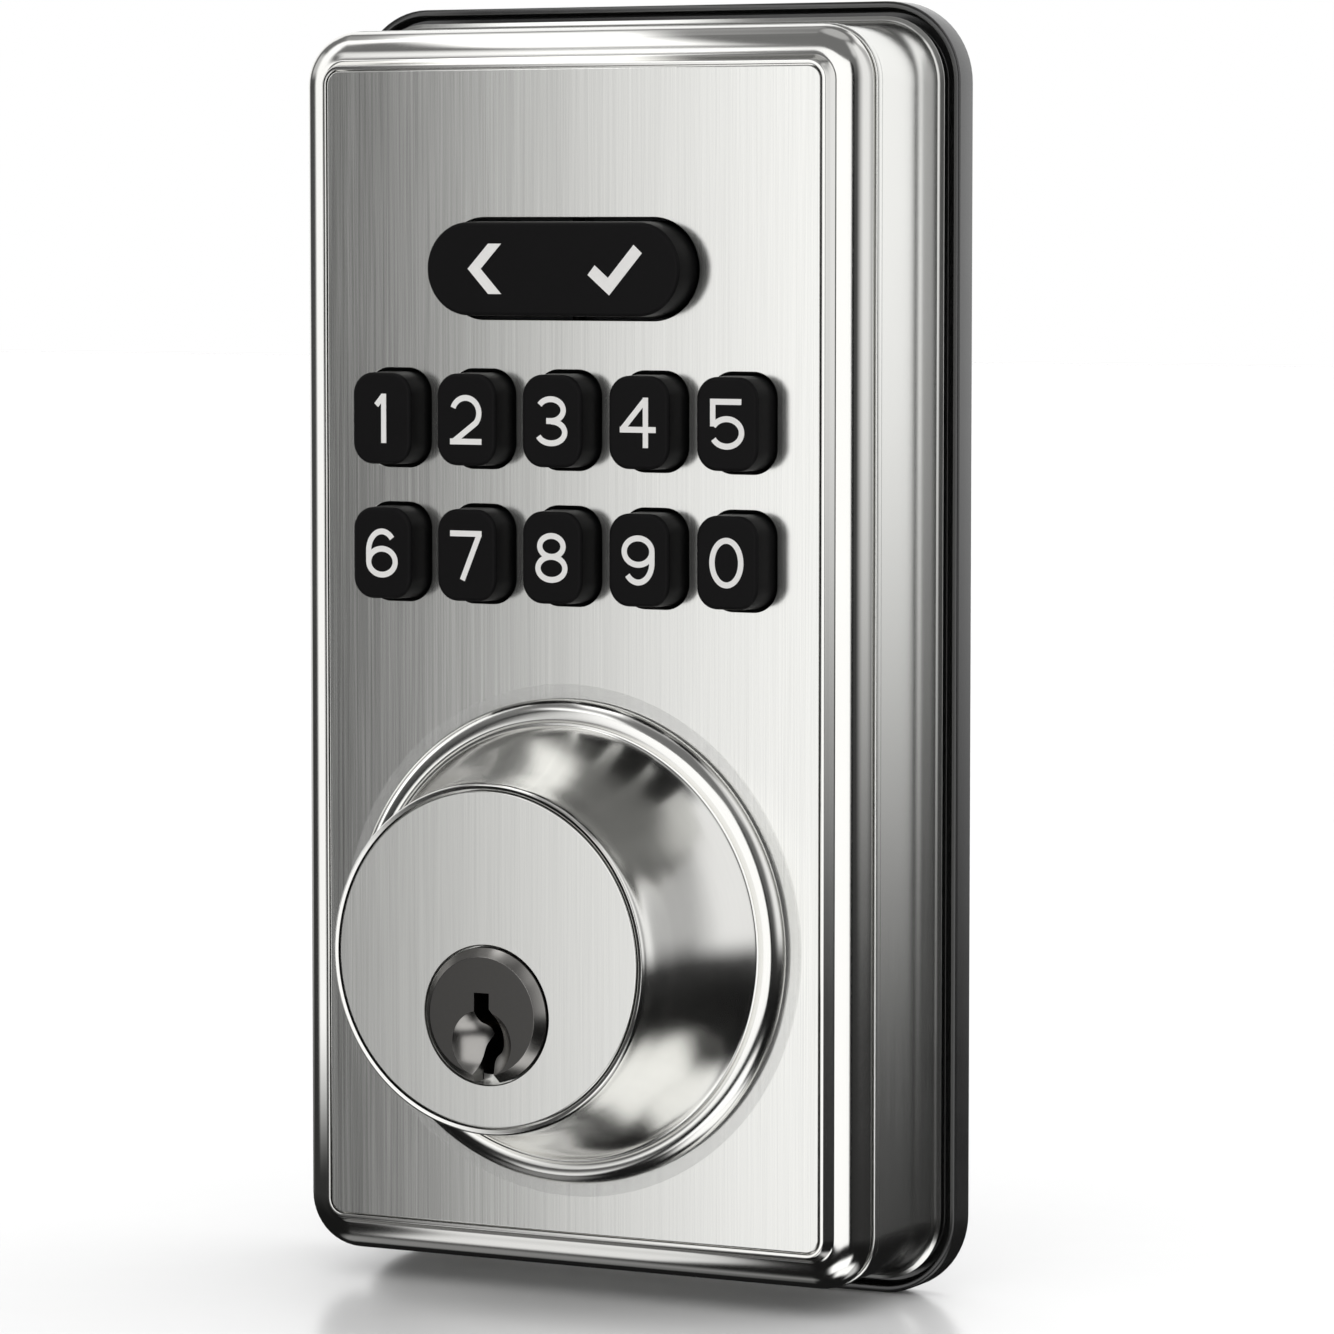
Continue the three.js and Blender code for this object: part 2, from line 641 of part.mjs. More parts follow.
function cylinderBody() {
  const shoulder = COLLAR_FRONT + FACE_THICKNESS;
  const start = shoulder - 0.5;
  const face = rod(0, COLLAR_AXIS_Z, FACE_RADIUS, COLLAR_FRONT, shoulder, ROUND_STEPS);
  const barrel = rod(0, 0, BARREL_RADIUS, start, BODY_REAR, 24);
  const chamberBlock = block(
    0, CHAMBER_BLOCK_TOP / 2, CHAMBER_BLOCK_HALF, CHAMBER_BLOCK_TOP / 2, start, BODY_REAR,
  );
  const bosses = [-1, 1].flatMap((side) => [
    rod(side * CYLINDER_SCREW_X, CYLINDER_SCREW_Z, 3.2, start, BODY_REAR),
    block(side * 6, CYLINDER_SCREW_Z, 2.6, 1, start, BODY_REAR),
  ]);
  const bore = rod(0, 0, PLUG_RADIUS + RUNNING_CLEARANCE, COLLAR_FRONT - OVERRUN, BODY_REAR + OVERRUN, ROUND_STEPS);
  const counterbore = rod(
    0, 0, PLUG_HEAD_RADIUS + RUNNING_CLEARANCE, COLLAR_FRONT - OVERRUN, PLUG_HEAD_REAR + 0.15, ROUND_STEPS,
  );
  const chambers = PIN_INDEXES.map((i) => upright(0, pinY(i), CHAMBER_RADIUS, 3, CHAMBER_BLOCK_TOP + OVERRUN));
  const screwHoles = [-1, 1].map((side) => (
    rod(side * CYLINDER_SCREW_X, CYLINDER_SCREW_Z, 1.9, BODY_REAR - 8, BODY_REAR + OVERRUN)
  ));
  const whole = join([face, barrel, chamberBlock, ...bosses]);
  return cut(whole, [bore, counterbore, ...chambers, ...screwHoles]);
}

// The keyway's section: a straight slot above, then a warded S that leaves the plug at its bottom edge.
function keywayShape() {
  const shape = new THREE.Shape();
  shape.moveTo(-0.9, 2.5);
  shape.lineTo(-0.9, 0.3);
  shape.quadraticCurveTo(-0.85, -0.7, 0, -0.9);
  shape.quadraticCurveTo(1.5, -1.5, 0.55, -2.4);
  shape.quadraticCurveTo(-0.2, -3.1, -0.3, -4);
  shape.quadraticCurveTo(-0.6, -5.6, -1.25, -6.4);
  shape.lineTo(-1.35, -8);
  shape.lineTo(1.9, -8);
  shape.lineTo(1.25, -5.3);
  shape.quadraticCurveTo(1.05, -4.4, 1.8, -4);
  shape.quadraticCurveTo(2.5, -3.4, 2.2, -1.7);
  shape.quadraticCurveTo(1.8, -0.1, 0.9, 0.8);
  shape.lineTo(0.9, 2.5);
  shape.closePath();
  return shape;
}

// One of the two drive dogs on the plug's rear end, as a sector of a ring.
function driveDog(turn) {
  const start = THREE.MathUtils.degToRad(DOG_START_DEG + turn);
  const end = THREE.MathUtils.degToRad(DOG_END_DEG + turn);
  const shape = new THREE.Shape();
  shape.absarc(0, 0, DOG_OUTER, start, end, false);
  shape.absarc(0, 0, DOG_INNER, end, start, true);
  shape.closePath();
  return slab(shape, PLUG_REAR - 0.5, DOG_REAR, 6);
}

function keyPlug() {
  const plug = turned([
    [0, PLUG_FRONT],
    [PLUG_FACE_RADIUS, PLUG_FRONT],
    [PLUG_HEAD_RADIUS, COLLAR_FRONT - 0.1],
    [PLUG_HEAD_RADIUS, PLUG_HEAD_REAR],
    [PLUG_RADIUS, PLUG_HEAD_REAR],
    [PLUG_RADIUS, CAP_FRONT - 0.15],
    [PLUG_THREAD_RADIUS, CAP_FRONT - 0.15],
    [PLUG_THREAD_RADIUS, PLUG_REAR],
    [0, PLUG_REAR],
  ]);
  const keyway = slab(keywayShape(), PLUG_FRONT - OVERRUN, KEYWAY_END, 3);
  const chambers = PIN_INDEXES.map((i) => upright(0, pinY(i), CHAMBER_RADIUS, -0.4, 8));
  const ball = new THREE.SphereGeometry(DIMPLE_SPHERE, 24, 14);
  ball.translate(0, PLUG_FRONT - DIMPLE_SPHERE + DIMPLE_DEPTH, DIMPLE_Z);
  const whole = join([plug, driveDog(0), driveDog(180)]);
  return cut(whole, [keyway, ...chambers, solidFrom(ball)]);
}

// Key pins stand with their tops at the shear line, as the right key holds them.
function keyPin(index) {
  const bottom = KEY_PIN_TOP - KEY_PIN_LENGTHS[index];
  const profile = [
    [0, bottom],
    [0.5, bottom],
    [PIN_RADIUS, bottom + 1],
    [PIN_RADIUS, KEY_PIN_TOP],
    [0, KEY_PIN_TOP],
  ];
  return standing(profile, pinY(index));
}

function driverPin(index) {
  const profile = [
    [0, DRIVER_BOTTOM],
    [PIN_RADIUS - 0.2, DRIVER_BOTTOM],
    [PIN_RADIUS, DRIVER_BOTTOM + 0.2],
    [PIN_RADIUS, DRIVER_TOP],
    [0, DRIVER_TOP],
  ];
  return standing(profile, pinY(index));
}

// A profile of [radius, z] pairs turned about an upright axis at a pin's depth.
function standing(profile, y) {
  const points = profile.map(([radius, z]) => new THREE.Vector2(radius, z));
  const geometry = new THREE.LatheGeometry(points, SMALL_STEPS);
  geometry.rotateX(Math.PI / 2);
  geometry.translate(0, y, 0);
  return solidFrom(geometry);
}

class Helix extends THREE.Curve {
  constructor(radius, turns, y, bottom, top) {
    super();
    Object.assign(this, { radius, turns, y, bottom, top });
  }

  getPoint(t, target = new THREE.Vector3()) {
    const angle = 2 * Math.PI * this.turns * t;
    const x = this.radius * Math.cos(angle);
    const y = this.y + this.radius * Math.sin(angle);
    return target.set(x, y, this.bottom + (this.top - this.bottom) * t);
  }
}

function pinSpring(index) {
  const corners = [...Array(SPRING_SIDES).keys()].map((i) => {
    const angle = (2 * Math.PI * i) / SPRING_SIDES;
    return new THREE.Vector2(SPRING_WIRE * Math.cos(angle), SPRING_WIRE * Math.sin(angle));
  });
  const wire = new THREE.Shape(corners);
  const bottom = DRIVER_TOP + 0.35;
  const top = CHAMBER_BLOCK_TOP - 0.3;
  const path = new Helix(SPRING_RADIUS, SPRING_TURNS, pinY(index), bottom, top);
  const geometry = new THREE.ExtrudeGeometry(wire, {
    steps: SPRING_TURNS * SPRING_STEPS,
    bevelEnabled: false,
    extrudePath: path,
  });
  return solidFrom(geometry);
}

function pinChamberCover() {
  const geometry = new THREE.BoxGeometry(COVER_WIDTH, COVER_LENGTH, COVER_THICKNESS);
  const middle = pinY((PIN_COUNT - 1) / 2) + 0.1;
  geometry.translate(0, middle, CHAMBER_BLOCK_TOP + 0.1 + COVER_THICKNESS / 2);
  return solidFrom(geometry);
}

// The threaded cap that holds the plug from the rear and keeps the tailpiece on it.
function plugCap() {
  const bore = PLUG_THREAD_RADIUS + 0.15;
  const endWall = DOG_REAR + 0.2;
  const exit = BLADE_HALF_WIDTH + 0.4;
  return turned([
    [bore, CAP_FRONT],
    [CAP_RADIUS, CAP_FRONT],
    [CAP_RADIUS, CAP_REAR - 0.6],
    [CAP_RADIUS - 0.6, CAP_REAR],
    [exit, CAP_REAR],
    [exit, endWall],
    [bore, endWall],
    [bore, CAP_FRONT],
  ]);
}

// A flat blade that stands upright at rest, with a wide root between the plug's dogs.
function tailpiece() {
  const rootFront = PLUG_REAR + 0.2;
  const rootRear = DOG_REAR - 0.05;
  const shape = new THREE.Shape();
  shape.moveTo(rootFront, -BLADE_ROOT_HALF);
  shape.lineTo(rootRear, -BLADE_ROOT_HALF);
  shape.lineTo(rootRear, -BLADE_HALF_WIDTH);
  shape.lineTo(BLADE_TIP - 3, -BLADE_HALF_WIDTH);
  shape.lineTo(BLADE_TIP, -BLADE_HALF_WIDTH + 1);
  shape.lineTo(BLADE_TIP, BLADE_HALF_WIDTH - 1);
  shape.lineTo(BLADE_TIP - 3, BLADE_HALF_WIDTH);
  shape.lineTo(rootRear, BLADE_HALF_WIDTH);
  shape.lineTo(rootRear, BLADE_ROOT_HALF);
  shape.lineTo(rootFront, BLADE_ROOT_HALF);
  shape.closePath();
  const geometry = new THREE.ExtrudeGeometry(shape, { depth: BLADE_THICKNESS, bevelEnabled: false });
  geometry.translate(0, 0, -BLADE_THICKNESS / 2);
  const swap = new THREE.Matrix4().set(0, 0, 1, 0, 1, 0, 0, 0, 0, 1, 0, 0, 0, 0, 0, 1);
  geometry.applyMatrix4(swap);
  return solidFrom(geometry);
}

// ---------------------------------------------------------------- mounting

function cylinderBracket() {
  const { z, halfWidth, halfHeight, corner } = BRACKET;
  const plate = slab(roundedShape(0, z, halfWidth, halfHeight, corner), BRACKET_FRONT, BRACKET_REAR, 4);
  const front = BRACKET_FRONT - OVERRUN;
  const rear = BRACKET_REAR + OVERRUN;
  const openings = [
    rod(0, 0, PLUG_RADIUS + 0.4, front, rear, 28),
    ...[-1, 1].flatMap((side) => [
      rod(side * CYLINDER_SCREW_X, CYLINDER_SCREW_Z, CYLINDER_SCREW_CLEARANCE, front, rear),
      rod(side * POST_X, 0, STUD_RADIUS + 0.3, front, rear),
    ]),
  ];
  return cut(plate, openings);
}

function mountingPost(side) {
  const x = side * POST_X;
  const tube = rod(x, 0, POST_RADIUS, BRACKET_REAR + 0.15, POST_END, 24);
  const stud = rod(x, 0, STUD_RADIUS, STUD_FRONT, BRACKET_REAR + 1);
  const bore = rod(x, 0, POST_BORE, POST_END - POST_BORE_DEPTH, POST_END + OVERRUN);
  return cut(join([tube, stud]), [bore]);
}

// ---------------------------------------------------------------- assembly

addPiece('front_plate', frontPlate(), 'satinNickel');
addPiece('bezel_frame', bezelFrame(), 'polishedNickel');
addPiece('housing', housing(), 'polishedNickel');
addPiece('back_plate', backPlate(), 'blackSteel');
addPiece('back_gasket', backGasket(), 'gasketBlack');
addPiece('cable_grommet', cableGrommet(), 'gasketBlack');
KEY_PLACES.forEach((place) => addPiece(`key_${place.label}`, keyCap(place), 'keyBlack'));
addPiece('function_key', functionKey(), 'keyBlack');
addPiece('key_guide', keyGuide(), 'guideGrey');
addPiece('key_mat', keyMat(), 'siliconeGrey');
addPiece('circuit_board', circuitBoard(), 'boardGreen');
addPiece('controller_chip', controllerChip(), 'chipBlack');
addPiece('buzzer', buzzer(), 'chipBlack');
addPiece('cable_connector', cableConnector(), 'connectorCream');
mirrored(BOARD_SCREW_Z).forEach(([side, z], i) => {
  const solid = screw(side * BOARD_SCREW_X, z, 2.4, 1.4, 1.2, BOARD_REAR + 0.15, WALL_FRONT + 0.4);
  addPiece(`board_screw_${i + 1}`, solid, 'steel');
});
addPiece('collar', collar(), 'polishedNickel');
addPiece('collar_washer', collarWasher(), 'washerClear');
addPiece('cylinder_body', cylinderBody(), 'satinNickel');
addPiece('key_plug', keyPlug(), 'gunmetal');
PIN_INDEXES.forEach((i) => {
  addPiece(`key_pin_${i + 1}`, keyPin(i), 'brass');
  addPiece(`driver_pin_${i + 1}`, driverPin(i), 'brass');
  addPiece(`pin_spring_${i + 1}`, pinSpring(i), 'steel');
});
addPiece('pin_chamber_cover', pinChamberCover(), 'steel');
addPiece('plug_cap', plugCap(), 'brass');
addPiece('tailpiece', tailpiece(), 'steel');
addPiece('cylinder_bracket', cylinderBracket(), 'steel');
[['left', -1], ['right', 1]].forEach(([name, side]) => {
  const solid = screw(
    side * CYLINDER_SCREW_X, CYLINDER_SCREW_Z, 3.4, 2, 1.7, BRACKET_REAR + 0.15, BODY_REAR - 7.5,
  );
  addPiece(`cylinder_screw_${name}`, solid, 'steel');
  addPiece(`mounting_post_${name}`, mountingPost(side), 'steel');
});
mirrored(BACK_SCREW_Z).forEach(([side, z], i) => {
  const solid = screw(side * BACK_SCREW_X, z, 2.6, 1.1, 1.2, BACK_PLATE_REAR + 0.15, -11);
  addPiece(`back_screw_${i + 1}`, solid, 'steel');
});

export default lock;
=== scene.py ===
# Keypad deadbolt, outside half: the looks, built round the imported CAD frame.
# Lengths in this script are millimetres and become metres as each mesh is made.
import math

import bmesh
import bpy
from mathutils import Matrix, Vector
from mathutils.geometry import tessellate_polygon


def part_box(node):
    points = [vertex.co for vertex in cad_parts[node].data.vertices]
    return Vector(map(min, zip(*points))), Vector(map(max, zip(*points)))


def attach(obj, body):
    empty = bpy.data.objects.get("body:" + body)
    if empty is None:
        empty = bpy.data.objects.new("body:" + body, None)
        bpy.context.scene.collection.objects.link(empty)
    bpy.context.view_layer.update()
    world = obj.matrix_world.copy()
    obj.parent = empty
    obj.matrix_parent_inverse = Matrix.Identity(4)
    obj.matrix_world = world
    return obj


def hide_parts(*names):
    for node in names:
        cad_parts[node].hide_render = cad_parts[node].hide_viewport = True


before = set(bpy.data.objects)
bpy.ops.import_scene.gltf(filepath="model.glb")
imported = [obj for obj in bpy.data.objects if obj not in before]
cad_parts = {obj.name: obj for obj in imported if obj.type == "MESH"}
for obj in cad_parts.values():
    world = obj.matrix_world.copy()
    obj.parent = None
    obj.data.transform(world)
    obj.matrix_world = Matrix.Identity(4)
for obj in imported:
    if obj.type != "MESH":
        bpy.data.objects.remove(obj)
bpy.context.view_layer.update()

MM = 0.001


def span(node):
    """The lowest and highest corners of a CAD node in millimetres."""
    low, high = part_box(node)
    return [c / MM for c in low], [c / MM for c in high]


# ------------------------------------------------------------------ driving dimensions

PLATE_LOW, PLATE_HIGH = span("front_plate")
HALF_WIDTH = PLATE_HIGH[0]
PLATE_MIDDLE = (PLATE_LOW[2] + PLATE_HIGH[2]) / 2
HALF_HEIGHT = (PLATE_HIGH[2] - PLATE_LOW[2]) / 2
PLATE_FRONT, PLATE_REAR = PLATE_LOW[1], PLATE_HIGH[1]
PLATE_CORNER = 1.5
BEZEL_WIDTH = span("bezel_frame")[1][0] - HALF_WIDTH
BEZEL_REAR = span("bezel_frame")[1][1]
LEDGE_FRONT = PLATE_FRONT + 1.65
WALL_FRONT = -18.45
WALL_REAR = -17
HOUSING_REAR = span("housing")[1][1]
GASKET_LOW, GASKET_HIGH = span("back_gasket")
GASKET_OFFSET = GASKET_HIGH[0] - HALF_WIDTH
DISC_LOW, DISC_HIGH = span("cylinder_body")
DISC_RADIUS = DISC_HIGH[0]
AXIS_Z = DISC_LOW[2] + DISC_RADIUS
PLUG_FRONT = span("key_plug")[0][1]
PLUG_RADIUS = 7.25
FIRST_PIN = -36.2
PIN_PITCH = 4
PIN_COUNT = 5
PIN_BORE_RADIUS = 1.6
CYLINDER_SCREW_X, CYLINDER_SCREW_Z = 10.5, 13.4
FLANGE_RIM = 0.45
BACK_SCREWS = [span(f"back_screw_{i}") for i in range(1, 5)]
POSTS = {side: span(f"mounting_post_{side}") for side in ("left", "right")}
POST_X = 19
OUTLET_Z = 18.5

# Edges that bend by less than this are shaded smooth
SMOOTH_LIMIT = math.radians(35)


# ------------------------------------------------------------------ node trees

class Graph:
    """Short calls for a node tree."""

    def __init__(self, tree):
        self.tree = tree
        tree.nodes.clear()

    def feed(self, socket, value):
        if isinstance(value, bpy.types.NodeSocket):
            self.tree.links.new(value, socket)
        else:
            socket.default_value = value

    def node(self, kind, inputs=None, **settings):
        made = self.tree.nodes.new("ShaderNode" + kind)
        for key, value in settings.items():
            setattr(made, key, value)
        for key, value in (inputs or {}).items():
            self.feed(made.inputs[key], value)
        return made

    def math(self, operation, *values):
        made = self.node("Math", operation=operation)
        for socket, value in zip(made.inputs, values):
            self.feed(socket, value)
        return made.outputs[0]

    def vector(self, operation, first, second):
        made = self.node("VectorMath", operation=operation)
        self.feed(made.inputs[0], first)
        self.feed(made.inputs["Scale" if operation == "SCALE" else 1], second)
        return made.outputs[0]

    def fade(self, value, empty, full):
        """0 at empty and 1 at full, smooth between."""
        made = self.node("MapRange", interpolation_type="SMOOTHSTEP")
        for key, given in {"Value": value, "From Min": empty, "From Max": full}.items():
            self.feed(made.inputs[key], given)
        return made.outputs[0]

    def polar(self, axis_z):
        """A vector of (turn about the collar's axis, depth, radius), for marks left by a lathe."""
        place = self.node("SeparateXYZ", {0: self.node("TexCoord").outputs["Object"]})
        x, y, z = place.outputs
        up = self.math("SUBTRACT", z, axis_z * MM)
        squares = self.math("ADD", self.math("MULTIPLY", x, x), self.math("MULTIPLY", up, up))
        radius = self.math("SQRT", squares)
        # One radian counts as 10 mm of grain
        turn = self.math("MULTIPLY", self.math("ARCTAN2", up, x), 10 * MM)
        return self.node("CombineXYZ", {0: turn, 1: y, 2: radius}).outputs[0]


def surface(name, colour, roughness, metallic=0.0, grains=(), polar=None, **sockets):
    """A material with procedural grain. A grain is (cells per mm on each axis, tint, gloss, relief in mm)."""
    material = bpy.data.materials.new(name)
    material.use_nodes = True
    graph = Graph(material.node_tree)
    where = graph.polar(polar) if polar is not None else graph.node("TexCoord").outputs["Object"]
    tone = 1.0
    rough = roughness
    normal = None
    for cells, tint, gloss, relief in grains:
        scale = [c / MM for c in cells]
        mapped = graph.node("Mapping", {"Vector": where, "Scale": scale}).outputs[0]
        noise = graph.node("TexNoise", {"Vector": mapped, "Scale": 1.0, "Detail": 3.0}).outputs[0]
        swing = graph.math("MULTIPLY_ADD", noise, 2.0, -1.0)
        if tint:
            tone = graph.math("MULTIPLY_ADD", swing, tint, tone)
        if gloss:
            rough = graph.math("MULTIPLY_ADD", swing, gloss, rough)
        if relief:
            bump = graph.node("Bump", {"Strength": 1.0, "Distance": relief * MM, "Height": noise})
            if normal is not None:
                graph.feed(bump.inputs["Normal"], normal)
            normal = bump.outputs[0]
    settings = {"Metallic": metallic, "Roughness": rough, **sockets}
    shader = graph.node("BsdfPrincipled", settings)
    base = (*colour, 1.0)
    if isinstance(tone, float):
        shader.inputs["Base Color"].default_value = base
    else:
        tinted = graph.vector("SCALE", colour, tone)
        graph.feed(shader.inputs["Base Color"], tinted)
    if normal is not None:
        graph.feed(shader.inputs["Normal"], normal)
    output = graph.node("OutputMaterial")
    graph.feed(output.inputs["Surface"], shader.outputs[0])
    material.diffuse_color = base
    return material


NICKEL = (0.80, 0.80, 0.775)
STEEL = (0.56, 0.57, 0.58)

MATERIALS = {
    # The front plate: long upright brush lines over broader, fainter bands
    "brushed": surface(
        "brushed_nickel", NICKEL, 0.17, 1.0,
        grains=[((7, 2, 0.05), 0.16, 0.05, 0.0007), ((2.2, 1, 0.02), 0.08, 0.03, 0),
                ((0.25, 0.25, 0.012), 0.03, 0.0, 0)],
        Anisotropic=0.3,
    ),
    # The cylinder's face carries the same brushing, a little finer
    "brushed_face": surface(
        "brushed_face_nickel", (0.79, 0.79, 0.765), 0.22, 1.0,
        grains=[((8, 2, 0.06), 0.13, 0.04, 0.0006), ((2.5, 1, 0.03), 0.06, 0.02, 0)],
        Anisotropic=0.3,
    ),
    # The bezel: polished, with the faint wander of buffing
    "polished": surface(
        "polished_nickel", (0.82, 0.815, 0.79), 0.12, 1.0,
        grains=[((0.12, 0.12, 0.12), 0.02, 0.02, 0), ((3, 3, 3), 0.012, 0.02, 0)],
    ),
    # The collar: polished on a lathe, so its marks run round it
    "turned": surface(
        "turned_nickel", (0.82, 0.815, 0.79), 0.15, 1.0, polar=AXIS_Z,
        grains=[((0.15, 7, 7), 0.03, 0.03, 0.0002), ((1.2, 0.5, 0.5), 0.02, 0.02, 0)],
    ),
    "shell": surface(
        "shell_nickel", (0.80, 0.80, 0.775), 0.2, 1.0,
        grains=[((2.5, 2.5, 0.05), 0.02, 0.03, 0), ((0.1, 0.1, 0.1), 0.015, 0.02, 0)],
    ),
    "plug": surface(
        "gunmetal", (0.10, 0.097, 0.093), 0.33, 1.0, polar=0,
        grains=[((0.4, 6, 9), 0.08, 0.06, 0.0008), ((1.5, 1.5, 1.5), 0.05, 0.03, 0)],
    ),
    "dimple": surface(
        "dimple_metal", (0.36, 0.35, 0.335), 0.24, 1.0,
        grains=[((2, 2, 2), 0.04, 0.03, 0), ((9, 9, 9), 0.02, 0.02, 0.0003)],
    ),
    "key": surface(
        "key_plastic", (0.0065, 0.0062, 0.0065), 0.4,
        grains=[((14, 14, 14), 0.08, 0.04, 0.003), ((0.3, 0.3, 0.3), 0.06, 0.05, 0)],
        **{"Specular IOR Level": 0.07},
    ),
    "legend": surface(
        "legend_paint", (0.82, 0.81, 0.79), 0.55,
        grains=[((8, 8, 8), 0.04, 0.05, 0.001), ((0.8, 0.8, 0.8), 0.03, 0, 0)],
    ),
    "gasket": surface(
        "gasket_rubber", (0.014, 0.014, 0.0137), 0.2,
        grains=[((5, 5, 5), 0.12, 0.05, 0.002), ((0.2, 0.2, 0.2), 0.1, 0.05, 0)],
        **{"Specular IOR Level": 1.0},
    ),
    "washer": surface(
        "washer_plastic", (0.9, 0.9, 0.89), 0.32,
        grains=[((1.5, 1.5, 1.5), 0.02, 0.04, 0)],
        Alpha=0.1,
    ),
    "black_steel": surface(
        "black_steel", (0.035, 0.036, 0.037), 0.45, 0.7,
        grains=[((4, 4, 4), 0.15, 0.08, 0.002), ((0.15, 0.15, 0.15), 0.08, 0.06, 0)],
    ),
    "steel": surface(
        "plated_steel", STEEL, 0.32, 1.0,
        grains=[((1.2, 1.2, 1.2), 0.06, 0.08, 0), ((6, 6, 6), 0.03, 0.04, 0.001)],
    ),
    "blade": surface(
        "blade_steel", (0.50, 0.51, 0.52), 0.34, 1.0,
        grains=[((5, 0.06, 5), 0.07, 0.07, 0.001), ((0.4, 0.4, 0.4), 0.05, 0.05, 0)],
    ),
    "spring": surface(
        "spring_steel", (0.45, 0.46, 0.48), 0.28, 1.0,
        grains=[((8, 8, 8), 0.05, 0.05, 0.0005)],
    ),
    "brass": surface(
        "pin_brass", (0.72, 0.53, 0.27), 0.25, 1.0,
        grains=[((1, 6, 1), 0.06, 0.06, 0.0005), ((0.5, 0.5, 0.5), 0.06, 0.05, 0)],
    ),
    "guide": surface(
        "guide_plastic", (0.045, 0.046, 0.048), 0.5,
        grains=[((8, 8, 8), 0.08, 0.06, 0.003)],
    ),
    "silicone": surface(
        "key_silicone", (0.11, 0.115, 0.12), 0.62,
        grains=[((6, 6, 6), 0.06, 0.05, 0.002), ((0.3, 0.3, 0.3), 0.05, 0.03, 0)],
    ),
    "board": surface(
        "board_green", (0.012, 0.09, 0.035), 0.35,
        grains=[((0.6, 0.6, 3.5), 0.35, 0.08, 0.01), ((3.5, 0.6, 0.6), 0.3, 0.08, 0.01)],
    ),
    "chip": surface(
        "chip_plastic", (0.012, 0.012, 0.013), 0.5,
        grains=[((10, 10, 10), 0.12, 0.08, 0.004)],
    ),
    "connector": surface(
        "connector_plastic", (0.72, 0.68, 0.57), 0.42,
        grains=[((3, 3, 3), 0.04, 0.05, 0.002)],
    ),
}


# ------------------------------------------------------------------ outlines and profiles

def rounded(x, z, half_width, half_height, corner, steps=10):
    """An outline of a rounded rectangle as (x, z) points."""
    corner = max(0.02, min(corner, half_width, half_height))
    centres = [(1, -1, -90), (1, 1, 0), (-1, 1, 90), (-1, -1, 180)]
    points = []
    for side, end, start in centres:
        middle_x = x + side * (half_width - corner)
        middle_z = z + end * (half_height - corner)
        for i in range(steps + 1):
            angle = math.radians(start + 90 * i / steps)
            points.append((middle_x + corner * math.cos(angle), middle_z + corner * math.sin(angle)))
    return points


def cover(offset, steps=12):
    """The cover's outline, offset outwards from the plate's edge."""
    corner = max(PLATE_CORNER + offset, 0.3)
    return rounded(0, PLATE_MIDDLE, HALF_WIDTH + offset, HALF_HEIGHT + offset, corner, steps)


def circle(x, z, radius, steps=64):
    angles = [2 * math.pi * i / steps for i in range(steps)]
    return [(x + radius * math.cos(a), z + radius * math.sin(a)) for a in angles]


def round_outline(x, z, radius, steps=64):
    return lambda grow: circle(x, z, radius + grow, steps)


def boxed_outline(x, z, half_width, half_height, corner, steps):
    return lambda grow: rounded(x, z, half_width + grow, half_height + grow, corner, steps)


def obround(x, z, half_width, half_height):
    return lambda grow: rounded(x, z, half_width + grow, half_height + grow, half_height + grow, 16)


def grown(outline, more):
    return lambda grow: outline(grow + more)


def middle(low, high):
    """The (x, z) middle of a node."""
    return (low[0] + high[0]) / 2, (low[2] + high[2]) / 2


def arc_angles(start, end, steps=10):
    return [math.radians(start + (end - start) * i / steps) for i in range(steps + 1)]


def soften(corners, steps=5, closed=True):
    """A path through (u, v, size) corners, each turned into a curve of that size."""
    path = []
    for i, (u, v, size) in enumerate(corners):
        here = Vector((u, v))
        ends = not closed and i in (0, len(corners) - 1)
        if not size or ends:
            path.append((u, v))
            continue
        before = Vector(corners[i - 1][:2]) - here
        after = Vector(corners[(i + 1) % len(corners)][:2]) - here
        size = min(size, before.length * 0.49, after.length * 0.49)
        first = here + before.normalized() * size
        last = here + after.normalized() * size
        for k in range(steps + 1):
            t = k / steps
            path.append(tuple(first * (1 - t) ** 2 + here * 2 * t * (1 - t) + last * t * t))
    return path


def flowing(points, steps=6):
    """A smooth path through the points."""
    path = []
    for i in range(len(points) - 1):
        a = Vector(points[max(i - 1, 0)])
        b = Vector(points[i])
        c = Vector(points[i + 1])
        d = Vector(points[min(i + 2, len(points) - 1)])
        for k in range(steps):
            t = k / steps
            curve = b * 2 + (c - a) * t + (a * 2 - b * 5 + c * 4 - d) * t ** 2
            path.append(tuple((curve + (b * 3 - a - c * 3 + d) * t ** 3) / 2))
    path.append(tuple(points[-1]))
    return path


def edge_levels(front, rear, size, steps=4):
    """Levels of (y, inset) down a plate whose front and rear edges are rounded."""
    turns = [math.pi / 2 * i / steps for i in range(steps + 1)]
    levels = [(front + size * (1 - math.cos(a)), size * (1 - math.sin(a))) for a in turns]
    return levels + [(front + rear - y, inset) for y, inset in reversed(levels)]


# ------------------------------------------------------------------ closed surfaces

